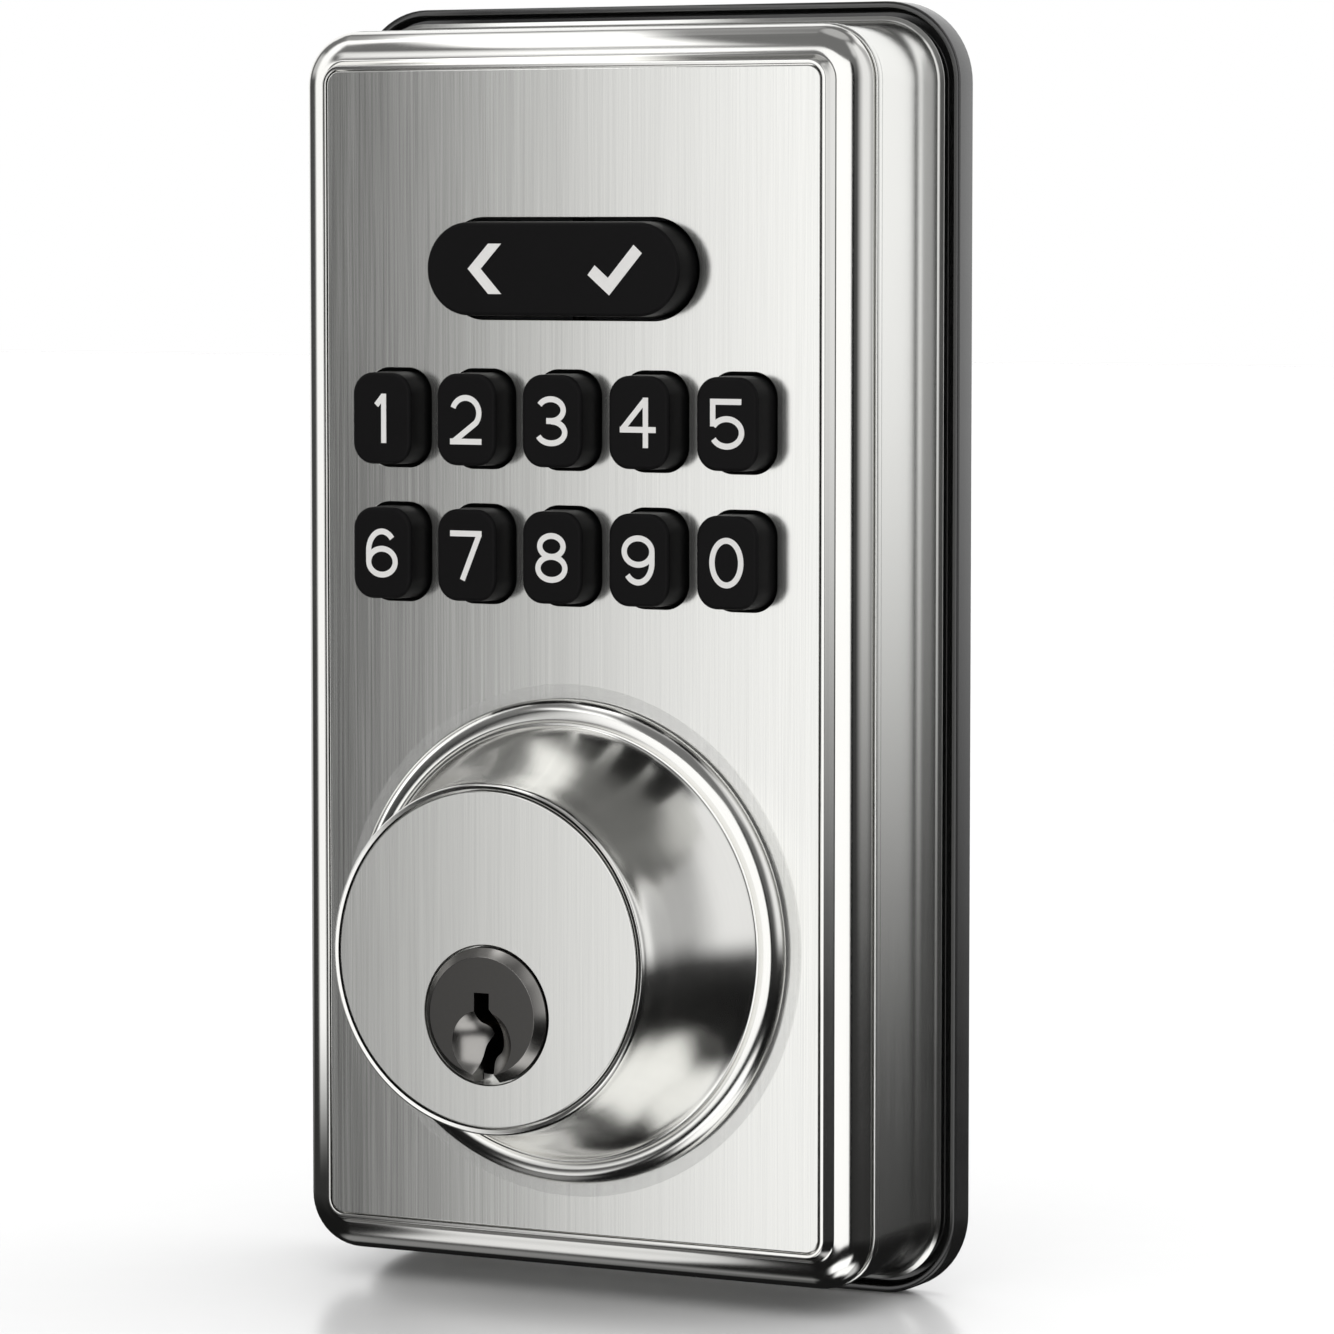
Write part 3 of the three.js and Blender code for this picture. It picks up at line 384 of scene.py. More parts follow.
class Shell:
    """Closed surfaces that make up one piece."""

    def __init__(self):
        self.points = []
        self.faces = []
        self.flats = set()

    def add(self, points, faces, flat=False):
        start = len(self.points)
        self.points.extend(points)
        for face in faces:
            if flat:
                self.flats.add(len(self.faces))
            self.faces.append([start + i for i in face])

    def rings(self, rings, looped=False, caps=True):
        """Quads between rings of equal length. A looped stack joins its last ring to its first."""
        count = len(rings[0])
        start = len(self.points)
        self.points.extend(point for ring in rings for point in ring)
        pairs = len(rings) if looped else len(rings) - 1
        for r in range(pairs):
            a = start + r * count
            b = start + (r + 1) % len(rings) * count
            for i in range(count):
                j = (i + 1) % count
                self.faces.append([a + i, a + j, b + j, b + i])
        if caps and not looped:
            for ring in (0, len(rings) - 1):
                self.flats.add(len(self.faces))
                self.faces.append([start + ring * count + i for i in range(count)])
        return self

    def pierced(self, outer, holes, levels, seat=None):
        """A flat body along Y. outer and holes give an outline for a growth; levels are (y, inset)."""
        seat = seat or (lambda x, z, y: (x, y, z))
        for outline, sign in [(outer, -1)] + [(hole, 1) for hole in holes]:
            rings = [[seat(x, z, y) for x, z in outline(sign * inset)] for y, inset in levels]
            self.rings(rings, caps=False)
        for y, inset in (levels[0], levels[-1]):
            loops = [outer(-inset)] + [hole(inset) for hole in holes]
            flat = [[Vector((x, z, 0)) for x, z in loop] for loop in loops]
            points = [seat(x, z, y) for loop in loops for x, z in loop]
            self.add(points, tessellate_polygon(flat), flat=True)
        return self

    def swept(self, profile, steps=12):
        """A closed (offset, y) profile carried round the cover's outline."""
        rings = [[(x, y, z) for x, z in cover(offset, steps)] for offset, y in profile]
        return self.rings(rings, looped=True)

    def turned(self, profile, x=0, z=0, steps=160):
        """A closed (radius, y) profile turned about an axis along Y."""
        rings = [[(px, y, pz) for px, pz in circle(x, z, max(radius, 0), steps)] for radius, y in profile]
        return self.rings(rings, looped=True)

    def stack(self, outline, levels):
        """A solid of (y, inset) levels of one outline, closed at both ends."""
        return self.rings([[(x, y, z) for x, z in outline(-inset)] for y, inset in levels])

    def ribbon(self, path, width, front, rear, closed=False):
        """A flat stroke of one width along a path of (x, z) points."""
        spots = [Vector(p) for p in path]
        count = len(spots)
        rings = []
        for i, spot in enumerate(spots):
            before = spots[i - 1] if closed or i else spot * 2 - spots[1]
            after = spots[(i + 1) % count] if closed or i + 1 < count else spot * 2 - spots[i - 1]
            first = (spot - before).normalized()
            second = (after - spot).normalized()
            across = Vector((-(first + second).y, (first + second).x)).normalized()
            lean = max(abs(across.dot(Vector((-first.y, first.x)))), 0.4)
            side = across * (width / 2 / lean)
            left, right = spot + side, spot - side
            rings.append([(left.x, front, left.y), (right.x, front, right.y),
                          (right.x, rear, right.y), (left.x, rear, left.y)])
        return self.rings(rings, looped=closed)

    def mesh(self, name):
        mesh = bpy.data.meshes.new(name)
        mesh.from_pydata([[c * MM for c in point] for point in self.points], [], self.faces)
        work = bmesh.new()
        work.from_mesh(mesh)
        marks = work.faces.layers.int.new("flat")
        work.faces.ensure_lookup_table()
        for i in self.flats:
            work.faces[i][marks] = 1
        bmesh.ops.remove_doubles(work, verts=work.verts, dist=1e-7)
        bmesh.ops.dissolve_degenerate(work, dist=1e-8, edges=work.edges)
        bmesh.ops.recalc_face_normals(work, faces=work.faces)
        shade(work, marks)
        work.to_mesh(mesh)
        work.free()
        return mesh


def shade(work, marks):
    """Smooth shading, but crisp where a flat face meets its rounded edge and at every sharp corner."""
    for face in work.faces:
        face.smooth = True
    for edge in work.edges:
        faces = edge.link_faces
        if len(faces) != 2:
            edge.smooth = False
            continue
        level = faces[0][marks] == faces[1][marks]
        edge.smooth = level and faces[0].normal.angle(faces[1].normal, 0) < SMOOTH_LIMIT


def piece(name, shell, material, body="lock_body", nodes=()):
    """Adds one finished piece that rides on a body, and stands for CAD nodes where it is given any."""
    mesh = shell.mesh(name) if isinstance(shell, Shell) else shell
    made = bpy.data.objects.new(name, mesh)
    bpy.context.scene.collection.objects.link(made)
    mesh.materials.clear()
    for each in material if isinstance(material, list) else [material]:
        mesh.materials.append(MATERIALS[each])
    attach(made, body)
    if nodes:
        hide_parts(*nodes)
    return made


def soft_edges(part, width, angle):
    """Rounds the edges of a part that turn by more than the angle in degrees."""
    edge = part.modifiers.new("edge", "BEVEL")
    edge.width = width * MM
    edge.segments = 2
    edge.limit_method = "ANGLE"
    edge.angle_limit = math.radians(angle)


def carved(name, base, steps):
    """A mesh made from a shell by boolean steps, each (operation, shell)."""
    scene = bpy.context.scene.collection
    work = bpy.data.objects.new(name, base.mesh(name))
    scene.objects.link(work)
    tools = []
    for i, (operation, shell) in enumerate(steps):
        tool = bpy.data.objects.new(f"{name}_tool_{i}", shell.mesh(f"{name}_tool_{i}"))
        scene.objects.link(tool)
        tools.append(tool)
        modifier = work.modifiers.new("carve", "BOOLEAN")
        modifier.operation = operation
        modifier.solver = "EXACT"
        modifier.object = tool
    evaluated = work.evaluated_get(bpy.context.evaluated_depsgraph_get())
    mesh = bpy.data.meshes.new_from_object(evaluated)
    for spare in [work, *tools]:
        old = spare.data
        bpy.data.objects.remove(spare)
        bpy.data.meshes.remove(old)
    mesh.name = name
    work = bmesh.new()
    work.from_mesh(mesh)
    bmesh.ops.remove_doubles(work, verts=work.verts, dist=1e-7)
    bmesh.ops.dissolve_degenerate(work, dist=1e-8, edges=work.edges)
    marks = work.faces.layers.int.get("flat") or work.faces.layers.int.new("flat")
    for face in work.faces:
        face[marks] = int(abs(face.normal.y) > 0.99999)
        face.material_index = 0
    shade(work, marks)
    work.to_mesh(mesh)
    work.free()
    return mesh


# ------------------------------------------------------------------ cover

KEYS = {}
for label in "1234567890":
    low, high = span(f"key_{label}")
    x, z = middle(low, high)
    KEYS[label] = {
        "x": x,
        "z": z,
        "half_width": (high[0] - low[0]) / 2 - FLANGE_RIM,
        "half_height": (high[2] - low[2]) / 2 - FLANGE_RIM,
        "front": low[1],
        "rear": high[1],
    }
KEY_CORNER = 2.5
KEY_GAP = 0.25
ROCKER_LOW, ROCKER_HIGH = span("function_key")
ROCKER_Z = (ROCKER_LOW[2] + ROCKER_HIGH[2]) / 2
ROCKER_HALF_WIDTH = ROCKER_HIGH[0]
ROCKER_HALF_HEIGHT = 5.15
ROCKER_REAR = -20.3
ROCKER_PIVOT = -20.4
COLLAR_SEAT_RADIUS = 17.5


def key_outline(key):
    return lambda grow: rounded(
        key["x"], key["z"], key["half_width"] + grow, key["half_height"] + grow, KEY_CORNER + grow, 14,
    )


def rocker_outline(grow):
    half_height = ROCKER_HALF_HEIGHT + grow
    return rounded(0, ROCKER_Z, ROCKER_HALF_WIDTH + grow, half_height, half_height, 28)


def make_plate():
    holes = [grown(key_outline(key), KEY_GAP) for key in KEYS.values()]
    holes.append(grown(rocker_outline, KEY_GAP + 0.05))
    holes.append(round_outline(0, AXIS_Z, COLLAR_SEAT_RADIUS, 96))
    plate = Shell().pierced(cover, holes, edge_levels(PLATE_FRONT, PLATE_REAR, 0.12))
    piece("face_plate", plate, "brushed", nodes=["front_plate"])


def make_bezel():
    """A raised edge, a tight cove and a broad outer roll, with a ledge behind the plate."""
    roll = flowing([
        (0.84, PLATE_FRONT + 0.62), (1.08, PLATE_FRONT + 1.14), (1.22, PLATE_FRONT + 1.3),
        (1.45, PLATE_FRONT + 1.38), (2.4, PLATE_FRONT + 1.6), (3.3, PLATE_FRONT + 2.05),
        (4, PLATE_FRONT + 2.75), (BEZEL_WIDTH - 0.04, PLATE_FRONT + 3.6),
        (BEZEL_WIDTH - 0.05, BEZEL_REAR - 0.3), (BEZEL_WIDTH - 0.25, BEZEL_REAR),
    ])
    land = soften([
        (-1, LEDGE_FRONT, 0), (0.15, LEDGE_FRONT, 0), (0.15, PLATE_FRONT, 0.1),
        (0.62, PLATE_FRONT, 0.14), (0.84, PLATE_FRONT + 0.62, 0),
    ], closed=False)
    bezel = Shell().swept(land[:-1] + roll + [(-1, BEZEL_REAR)])
    bezel.pierced(grown(cover, -0.5), [grown(cover, -2.6)], [(LEDGE_FRONT, 0), (BEZEL_REAR, 0)])
    piece("bezel", bezel, "polished", nodes=["bezel_frame"])


def make_housing():
    """The shell: a bead under the bezel, a long side and a flare where it meets the door."""
    inner = BEZEL_WIDTH - 1.8
    wall = soften([
        (inner, WALL_FRONT + 0.55, 0), (BEZEL_WIDTH - 0.5, WALL_FRONT + 0.55, 0.1),
        (BEZEL_WIDTH - 0.3, WALL_FRONT + 0.45, 0.1), (BEZEL_WIDTH + 0.12, WALL_FRONT + 0.55, 0.2),
        (BEZEL_WIDTH + 0.12, WALL_FRONT + 1.4, 0.1), (BEZEL_WIDTH - 0.2, WALL_FRONT + 1.5, 0.04),
        (BEZEL_WIDTH - 0.03, WALL_FRONT + 1.75, 0.06), (BEZEL_WIDTH, -7.4, 1),
        (BEZEL_WIDTH + 0.75, HOUSING_REAR - 0.45, 0.25), (BEZEL_WIDTH + 1.3, HOUSING_REAR - 0.12, 0.05),
        (BEZEL_WIDTH + 1.3, HOUSING_REAR, 0), (inner, HOUSING_REAR, 0),
    ])
    housing = Shell().swept(wall)
    # The front wall is open behind the keypad, and a thicker pad backs the cylinder
    window = boxed_outline(0, 63.2, 27.4, 24, 0.3, 3)
    collar_hole = round_outline(0, AXIS_Z, 16.6, 96)
    studs = [round_outline(side * POST_X, 0, 2.7, 24) for side in (-1, 1)]
    front_wall = [window, collar_hole, *studs]
    housing.pierced(grown(cover, BEZEL_WIDTH - 1), front_wall, [(WALL_FRONT, 0), (WALL_REAR, 0)])
    pad = boxed_outline(0, 6.7, 27.1, 29.8, 1, 4)
    housing.pierced(pad, [collar_hole, *studs], [(LEDGE_FRONT, 0.1), (LEDGE_FRONT + 0.1, 0), (WALL_REAR, 0)])
    for screw in BACK_SCREWS:
        boss = round_outline(*middle(*screw), 3.9, 48)
        bore = round_outline(*middle(*screw), 1.4, 24)
        housing.pierced(boss, [bore], [(WALL_REAR - 0.2, 0), (HOUSING_REAR - 0.2, 0), (HOUSING_REAR, 0.2)])
    piece("housing_shell", housing, "shell", nodes=["housing"])


def make_gasket():
    """A groove runs round the gasket just inside its lip."""
    outer = GASKET_OFFSET
    front, rear = GASKET_LOW[1], GASKET_HIGH[1]
    gasket = soften([
        (2, rear, 0.1), (2, front, 0.1), (outer - 2.5, front, 0.1), (outer - 2.1, front + 1.6, 0.2),
        (outer - 1, front + 1.6, 0.2), (outer - 0.7, front, 0.15), (outer, front, 0.35), (outer, rear, 0.25),
    ])
    piece("rubber_gasket", Shell().swept(gasket, 16), "gasket", nodes=["back_gasket"])


def make_back_plate():
    low, high = span("back_plate")
    plug_hole = round_outline(0, 0, 10.5, 96)
    post_holes = [round_outline(side * POST_X, 0, 4.4, 64) for side in (-1, 1)]
    outlet = obround(0, OUTLET_Z, 8, 4.7)
    screw_holes = [round_outline(*middle(*screw), 1.7, 32) for screw in BACK_SCREWS]
    holes = [plug_hole, *post_holes, outlet, *screw_holes]
    plate = Shell().pierced(grown(cover, 1.7), holes, edge_levels(low[1], high[1], 0.2))
    # Pressed ribs stiffen the plate above the bore
    rises = ((-0.2, 0), (0.15, 0.05), (0.42, 0.35), (0.5, 0.8))
    rib_levels = [(high[1] + rise, inset) for rise, inset in rises]
    for z in (44, 58, 72, 86):
        plate.stack(obround(0, z, 18, 1.5), rib_levels)
    piece("rear_plate", plate, "black_steel", nodes=["back_plate"])


def make_grommet():
    """A rubber bush with a flange on each side of the back plate."""
    low, high = span("cable_grommet")
    flange, waist = 0.6, 1.35
    front_flange = edge_levels(low[1], low[1] + flange, 0.22)
    rear_flange = edge_levels(high[1] - flange, high[1], 0.22)
    groove = [(low[1] + flange + 0.06, waist), (high[1] - flange - 0.06, waist)]
    bore = obround(0, OUTLET_Z, 6.5, 3.2)
    outline = obround(0, OUTLET_Z, 9.2, 5.9)
    levels = front_flange + groove + rear_flange
    grommet = Shell()
    rings = [[(x, y, z) for x, z in outline(-inset)] for y, inset in levels]
    rounding = [(high[1] - 0.02, 0.3), (high[1] - 0.25, 0.06), (high[1] - 0.5, 0),
                (low[1] + 0.5, 0), (low[1] + 0.25, 0.06), (low[1] + 0.02, 0.3)]
    rings += [[(x, y, z) for x, z in bore(inset)] for y, inset in rounding]
    grommet.rings(rings, looped=True)
    piece("outlet_grommet", grommet, "gasket", nodes=["cable_grommet"])


def pan_screw(name, node, low, high):
    """A pan-head screw with a cross recess, put in from behind."""
    x, z = middle(low, high)
    head_height, shank = 1.1, 1.2
    radius = (high[0] - low[0]) / 2
    rear = high[1]
    seat = rear - head_height
    profile = [
        (0, rear), (radius * 0.45, rear - 0.02), (radius * 0.8, rear - head_height * 0.2),
        (radius * 0.97, rear - head_height * 0.55), (radius, rear - head_height * 0.85),
        (radius * 0.97, seat),
    ]
    pitch = 0.9
    thread = []
    for i in range(int((seat - low[1] - 1.2) / pitch)):
        y = seat - 0.4 - i * pitch
        thread += [(shank * 0.8, y), (shank, y - 0.3), (shank * 0.8, y - 0.6)]
    tip = [(shank * 0.5, low[1] + 0.3), (0, low[1])]
    head = Shell().turned(flowing(profile) + [(shank * 0.8, seat)] + thread + tip, x, z, 40)
    cuts = []
    reach, slit = radius * 0.62, 0.24
    depths = [(rear - head_height * 0.6, 0.12), (rear + 0.4, -0.05)]
    for wide, tall in ((reach, slit), (slit, reach)):
        arm = boxed_outline(x, z, wide, tall, 0.08, 3)
        cuts.append(("DIFFERENCE", Shell().stack(arm, depths)))
    piece(name, carved(name, head, cuts), "steel", nodes=[node])


def make_back_screws():
    for i, (low, high) in enumerate(BACK_SCREWS, 1):
        pan_screw(f"rear_screw_{i}", f"back_screw_{i}", low, high)


# ------------------------------------------------------------------ keypad

# A digit's half height between the middles of its strokes, and a stroke's width
HALF = 2.36
STROKE = 0.63
LEGEND_RISE = 0.03
LEGEND_ROOT = 0.02


def arc(x, z, half_width, half_height, start, end):
    """Points along part of an ellipse, from one angle to another in degrees."""
    angles = arc_angles(start, end, max(8, round(abs(end - start) / 6)))
    return [(x + half_width * math.cos(a), z + half_height * math.sin(a)) for a in angles]


def ring_path(x, z, half_width, half_height):
    return arc(x, z, half_width, half_height, 0, 360)[:-1]


def turned_over(strokes):
    return [([(-x, -z) for x, z in path], closed) for path, closed in strokes]


TALL = HALF + STROKE / 2
SIX = [
    (arc(0.02, 0.25, 1.66, 2.1, 40, 180) + [(-1.64, -0.9)], False),
    (ring_path(0.02, -0.95, 1.66, 1.41), True),
]
GLYPHS = {
    "1": [([(0.3, -TALL), (0.3, TALL)], False), ([(-0.62, 1.42), (0.28, TALL - 0.2)], False)],
    "2": [(arc(0, 0.72, 1.64, 1.64, 160, -40) + [(-1.5, -HALF)], False),
          ([(-1.93, -HALF), (1.95, -HALF)], False)],
    "3": [(arc(-0.06, 1.19, 1.52, 1.17, 152, -90) + [(-0.6, 0.02)], False),
          (arc(-0.02, -1.19, 1.66, 1.17, 90, -158), False)],
    "4": [([(0.87, -TALL), (0.87, TALL)], False), ([(-2.2, -0.75), (2.1, -0.75)], False),
          ([(-1.9, -0.7), (0.78, TALL - 0.3)], False)],
    "5": [([(-1.62, -0.25), (-1.62, HALF), (1.75, HALF)], False),
          (arc(0.02, -0.91, 1.76, 1.45, 152, -152), False)],
    "6": SIX,
    "7": [([(-1.95, HALF), (1.93, HALF)], False), ([(1.68, HALF), (-0.45, -TALL)], False)],
    "8": [(ring_path(0, 1.24, 1.42, 1.12), True), (ring_path(0, -1.12, 1.64, 1.24), True)],
    "9": turned_over(SIX),
    "0": [(ring_path(0, 0, 1.7, HALF), True)],
}


def marking(name, strokes, x, z, front, body, width=STROKE):
    """Raised paint on a key: strokes of one width, each a hair lower than the one before."""
    shell = Shell()
    for i, (path, closed) in enumerate(strokes):
        placed = [(x + px, z + pz) for px, pz in path]
        shell.ribbon(placed, width, front - LEGEND_RISE + 0.004 * i, front + LEGEND_ROOT, closed)
    piece(name, shell, "legend", body)


def key_levels(front, rear, draft, bevel, neck):
    """Levels of (y, inset) from a key's rear to its front, with a soft edge round the front face."""
    shoulder = front + bevel
    turns = [math.pi / 2 * i / 6 for i in range(7)]
    edge = [(shoulder - bevel * math.sin(a), neck + draft + bevel * (1 - math.cos(a))) for a in turns]
    return [(shoulder + (rear - shoulder) * 0.5, neck + draft * 0.5), *edge]


def make_keys():
    for label, key in KEYS.items():
        front, rear = key["front"], key["rear"]
        flange_front = rear - 0.7
        outline = grown(key_outline(key), FLANGE_RIM)
        flange = [(rear, 0.08), (rear - 0.08, 0), (flange_front + 0.08, 0), (flange_front, 0.08)]
        neck = [(flange_front, FLANGE_RIM - 0.05), (flange_front - 0.1, FLANGE_RIM)]
        levels = flange + neck + key_levels(front, flange_front, 0.13, 0.38, FLANGE_RIM)
        cap = Shell().stack(outline, levels)
        piece(f"keycap_{label}", cap, "key", f"key_{label}", [f"key_{label}"])
        marking(f"legend_{label}", GLYPHS[label], key["x"], key["z"], front, f"key_{label}")


def make_rocker():
    front, rear = ROCKER_LOW[1], ROCKER_REAR
    levels = [(rear, 0.15), (rear - 0.15, 0)] + key_levels(front, rear, 0.13, 0.38, 0)
    rocker = Shell().stack(rocker_outline, levels)
    # A short pin at its top and bottom edges, on which it rocks
    for end in (-1, 1):
        inner = ROCKER_Z + end * (ROCKER_HALF_HEIGHT - 0.3)
        outer = ROCKER_Z + end * (ROCKER_HALF_HEIGHT + 1.1)
        stations = ((inner, 0.7), (outer - end * 0.12, 0.7), (outer, 0.58))
        pin = [[(x, ROCKER_PIVOT + y, z) for x, y in circle(0, 0, radius, 24)] for z, radius in stations]
        rocker.rings(pin)
    piece("rocker_key", rocker, "key", "function_key", ["function_key"])

    # A back arrow on the left and a tick on the right
    arm, drop, thick = 2.52, 2.7, 1.6
    arrow = Shell()
    outline = [(0, 0), (arm, drop), (arm + thick, drop), (thick, 0), (arm + thick, -drop), (arm, -drop)]
    place = lambda y: [(x - 10.2, y, ROCKER_Z + z) for x, z in outline]
    arrow.rings([place(front - LEGEND_RISE), place(front + LEGEND_ROOT)])
    piece("legend_back", arrow, "legend", "function_key")
    tick = [([(4.85, -0.1), (6.95, -1.85), (10.45, 2.15)], False)]
    marking("legend_tick", tick, 0, ROCKER_Z, front, "function_key", 1.33)


# ------------------------------------------------------------------ lock cylinder

def make_collar():
    low, high = span("collar")
    base = high[1]
    front = low[1]
    bead = flowing([
        (26.35, base), (26.33, base - 0.55), (26, base - 1.1), (25.3, base - 1.6), (24.6, base - 1.75),
        (24.1, base - 1.7), (23.85, base - 1.5),
    ])
    cone = flowing([
        (23.85, base - 1.5), (23.45, base - 1.75), (22.5, base - 3.4), (21.4, base - 5.9),
        (20.5, base - 8.6), (19.8, base - 11.4), (19.3, base - 14), (18.95, base - 16),
        (18.75, front + 0.55), (18.6, front + 0.12), (18.45, front),
    ])
    inner = soften([
        (18.1, front, 0.08), (18.1, front + 3.15, 0), (17.1, front + 3.15, 0), (17.1, base - 8, 0),
        (20, base - 3, 0), (20, base, 0),
    ], 3)
    shell = Shell().turned(bead[:-1] + cone + inner, 0, AXIS_Z, 224)
    piece("collar_shell", shell, "turned", nodes=["collar"])


def make_washer():
    low, high = span("collar_washer")
    radius = high[0]
    ring = soften([
        (20, low[1], 0.05), (radius - 0.02, low[1], 0.12), (radius, high[1], 0.05), (20, high[1], 0.05),
    ])
    washer = Shell().turned(ring, 0, AXIS_Z, 192)
    piece("clear_washer", washer, "washer", nodes=["collar_washer"])


def rod(x, z, radius, start, end, steps):
    """A round bar along Y."""
    return Shell().stack(round_outline(x, z, radius, steps), [(start, 0), (end, 0)])


def pin_bore(i, bottom, top):
    """The upright bore for one pin and its driver."""
    y = FIRST_PIN + PIN_PITCH * i
    ring = circle(0, 0, PIN_BORE_RADIUS, 32)
    return Shell().rings([[(x, y + v, z) for x, v in ring] for z in (bottom, top)])


def make_cylinder():
    front, rear = DISC_LOW[1], DISC_HIGH[1]
    shoulder = front + 3
    start = shoulder - 0.5
    face = Shell().stack(round_outline(0, AXIS_Z, DISC_RADIUS, 192), edge_levels(front, shoulder, 0.16))
    chamber_block = Shell().stack(boxed_outline(0, 12, 4.4, 7.9, 0.4, 4), [(start + 0.1, 0), (rear, 0)])
    steps = [("UNION", rod(0, 0, 9.2, start, rear, 96)), ("UNION", chamber_block)]
    for side in (-1, 1):
        x = side * CYLINDER_SCREW_X
        steps.append(("UNION", rod(x, CYLINDER_SCREW_Z, 3.2, start + 0.2, rear, 40)))
        web = boxed_outline(side * 6, CYLINDER_SCREW_Z, 2.6, 1, 0.2, 3)
        steps.append(("UNION", Shell().stack(web, [(start + 0.3, 0), (rear - 0.1, 0)])))
    # The bore that the plug turns in, wide at its mouth
    clearance = 0.15
    mouth, bore, step = PLUG_RADIUS + clearance, 6.5, front + 1.65
    opening = [
        (0, front - 1.6), (9, front - 1.6), (mouth, front + 0.14), (mouth, step), (bore, step),
        (bore, rear + 1), (0, rear + 1),
    ]
    steps.append(("DIFFERENCE", Shell().turned(opening, 0, 0, 128)))
    steps += [("DIFFERENCE", pin_bore(i, 3, 21)) for i in range(PIN_COUNT)]
    for side in (-1, 1):
        x = side * CYLINDER_SCREW_X
        steps.append(("DIFFERENCE", rod(x, CYLINDER_SCREW_Z, 1.9, rear - 8, rear + 1, 24)))
    mesh = carved("cylinder_housing", face, steps)
    piece("cylinder_housing", mesh, "brushed_face", nodes=["cylinder_body"])


def keyway_outline():
    """The keyway's section in the plug's face: a straight slot above a warded S."""
    path = [(-0.9, 2.5), (-0.9, 0.3)]

    def bend(control, end):
        first = Vector(path[-1])
        pull, last = Vector(control), Vector(end)
        for i in range(1, 7):
            t = i / 6
            path.append(tuple(first * (1 - t) ** 2 + pull * 2 * t * (1 - t) + last * t * t))

    bend((-0.85, -0.7), (0, -0.9))
    bend((1.5, -1.5), (0.55, -2.4))
    bend((-0.2, -3.1), (-0.3, -4))
    bend((-0.6, -5.6), (-1.25, -6.4))
    path.extend([(-1.35, -8), (1.9, -8), (1.25, -5.3)])
    bend((1.05, -4.4), (1.8, -4))
    bend((2.5, -3.4), (2.2, -1.7))
    bend((1.8, -0.1), (0.9, 0.8))
    path.append((0.9, 2.5))
    return path


def make_plug():
    front, rear = PLUG_FRONT, -12.7
    face_radius, chamfer, shank, tail = 6.3, 0.95, 6.35, 5.6
    body = soften([
        (0, front, 0), (face_radius, front, 0.06), (PLUG_RADIUS, front + chamfer, 0.12),
        (PLUG_RADIUS, front + 2.55, 0.05), (shank, front + 2.55, 0), (shank, -14.75, 0.1),
        (tail, -14.75, 0), (tail, rear, 0.15), (0, rear, 0),
    ], 4)
    # The dimple is part of a ball sunk into the face, below the keyway's middle
    ball_radius, dimple_depth = 5.5, 1.3
    ball = Vector((0, front - ball_radius + dimple_depth, -2.9))
    half_circle = arc_angles(180, 0, 72)
    bowl = [(ball_radius * math.sin(a), ball.y + ball_radius * math.cos(a)) for a in half_circle]
    slot = Shell().rings([[(x, y, z) for x, z in keyway_outline()] for y in (front - 2, -16)])
    steps = [("DIFFERENCE", Shell().turned(bowl, 0, ball.z, 96)), ("DIFFERENCE", slot)]
    steps += [("DIFFERENCE", pin_bore(i, -0.4, 8)) for i in range(PIN_COUNT)]
    mesh = carved("plug_body", Shell().turned(body, 0, 0, 128), steps)
    made = piece("plug_body", mesh, ["plug", "dimple"], "plug", ["key_plug"])
    # The dimple and the chamfer round the face are polished
    for face in mesh.polygons:
        spots = [mesh.vertices[i].co / MM for i in face.vertices]
        on_ball = all(abs((spot - ball).length - ball_radius) < 0.02 for spot in spots)
        centre = sum(spots, Vector()) / len(spots)
        outward = face.normal.x * centre.x + face.normal.z * centre.z > 0 and face.normal.y < -0.5
        on_chamfer = math.hypot(centre.x, centre.z) > face_radius and centre.y < front + chamfer + 0.01
        dished = on_ball and abs(face.normal.y) < 0.9999
        face.material_index = int(dished or (outward and on_chamfer))
    soft_edges(made, 0.05, 55)


def make_plug_dogs():
    """Two dogs on the plug's tail drive the tailpiece."""
    outer, inner = 5.45, 2.6
    dogs = Shell()
    for turn in (0, 180):
        angles = arc_angles(116.5 + turn, 153.5 + turn)
        outline = [(outer * math.cos(a), outer * math.sin(a)) for a in angles]
        outline += [(inner * math.cos(a), inner * math.sin(a)) for a in reversed(angles)]
        dogs.rings([[(x, y, z) for x, z in outline] for y in (-13, -10.35)])
    piece("plug_dogs", dogs, "plug", "plug")


def make_plug_cap():
    """A threaded cap that holds the tailpiece on the plug."""
    low, high = span("plug_cap")
    radius, bore, hole, seat = high[0], 5.75, 3.4, -10.15
    valley = radius - 0.18
    threads = []
    for i in range(5):
        start = low[1] + 0.5 + i * 0.95
        threads += [(radius, start, 0.08), (radius, start + 0.6, 0.08)]
        threads += [(valley, start + 0.7, 0), (valley, start + 0.85, 0)]
    cap = soften([
        (bore, low[1], 0), (radius - 0.2, low[1], 0), *threads, (radius, high[1] - 0.5, 0.3),
        (radius - 0.5, high[1], 0.2), (hole, high[1], 0.1), (hole, seat, 0), (bore, seat, 0),
    ], 4)
    piece("brass_cap", Shell().turned(cap, 0, 0, 128), "brass", "plug", ["plug_cap"])


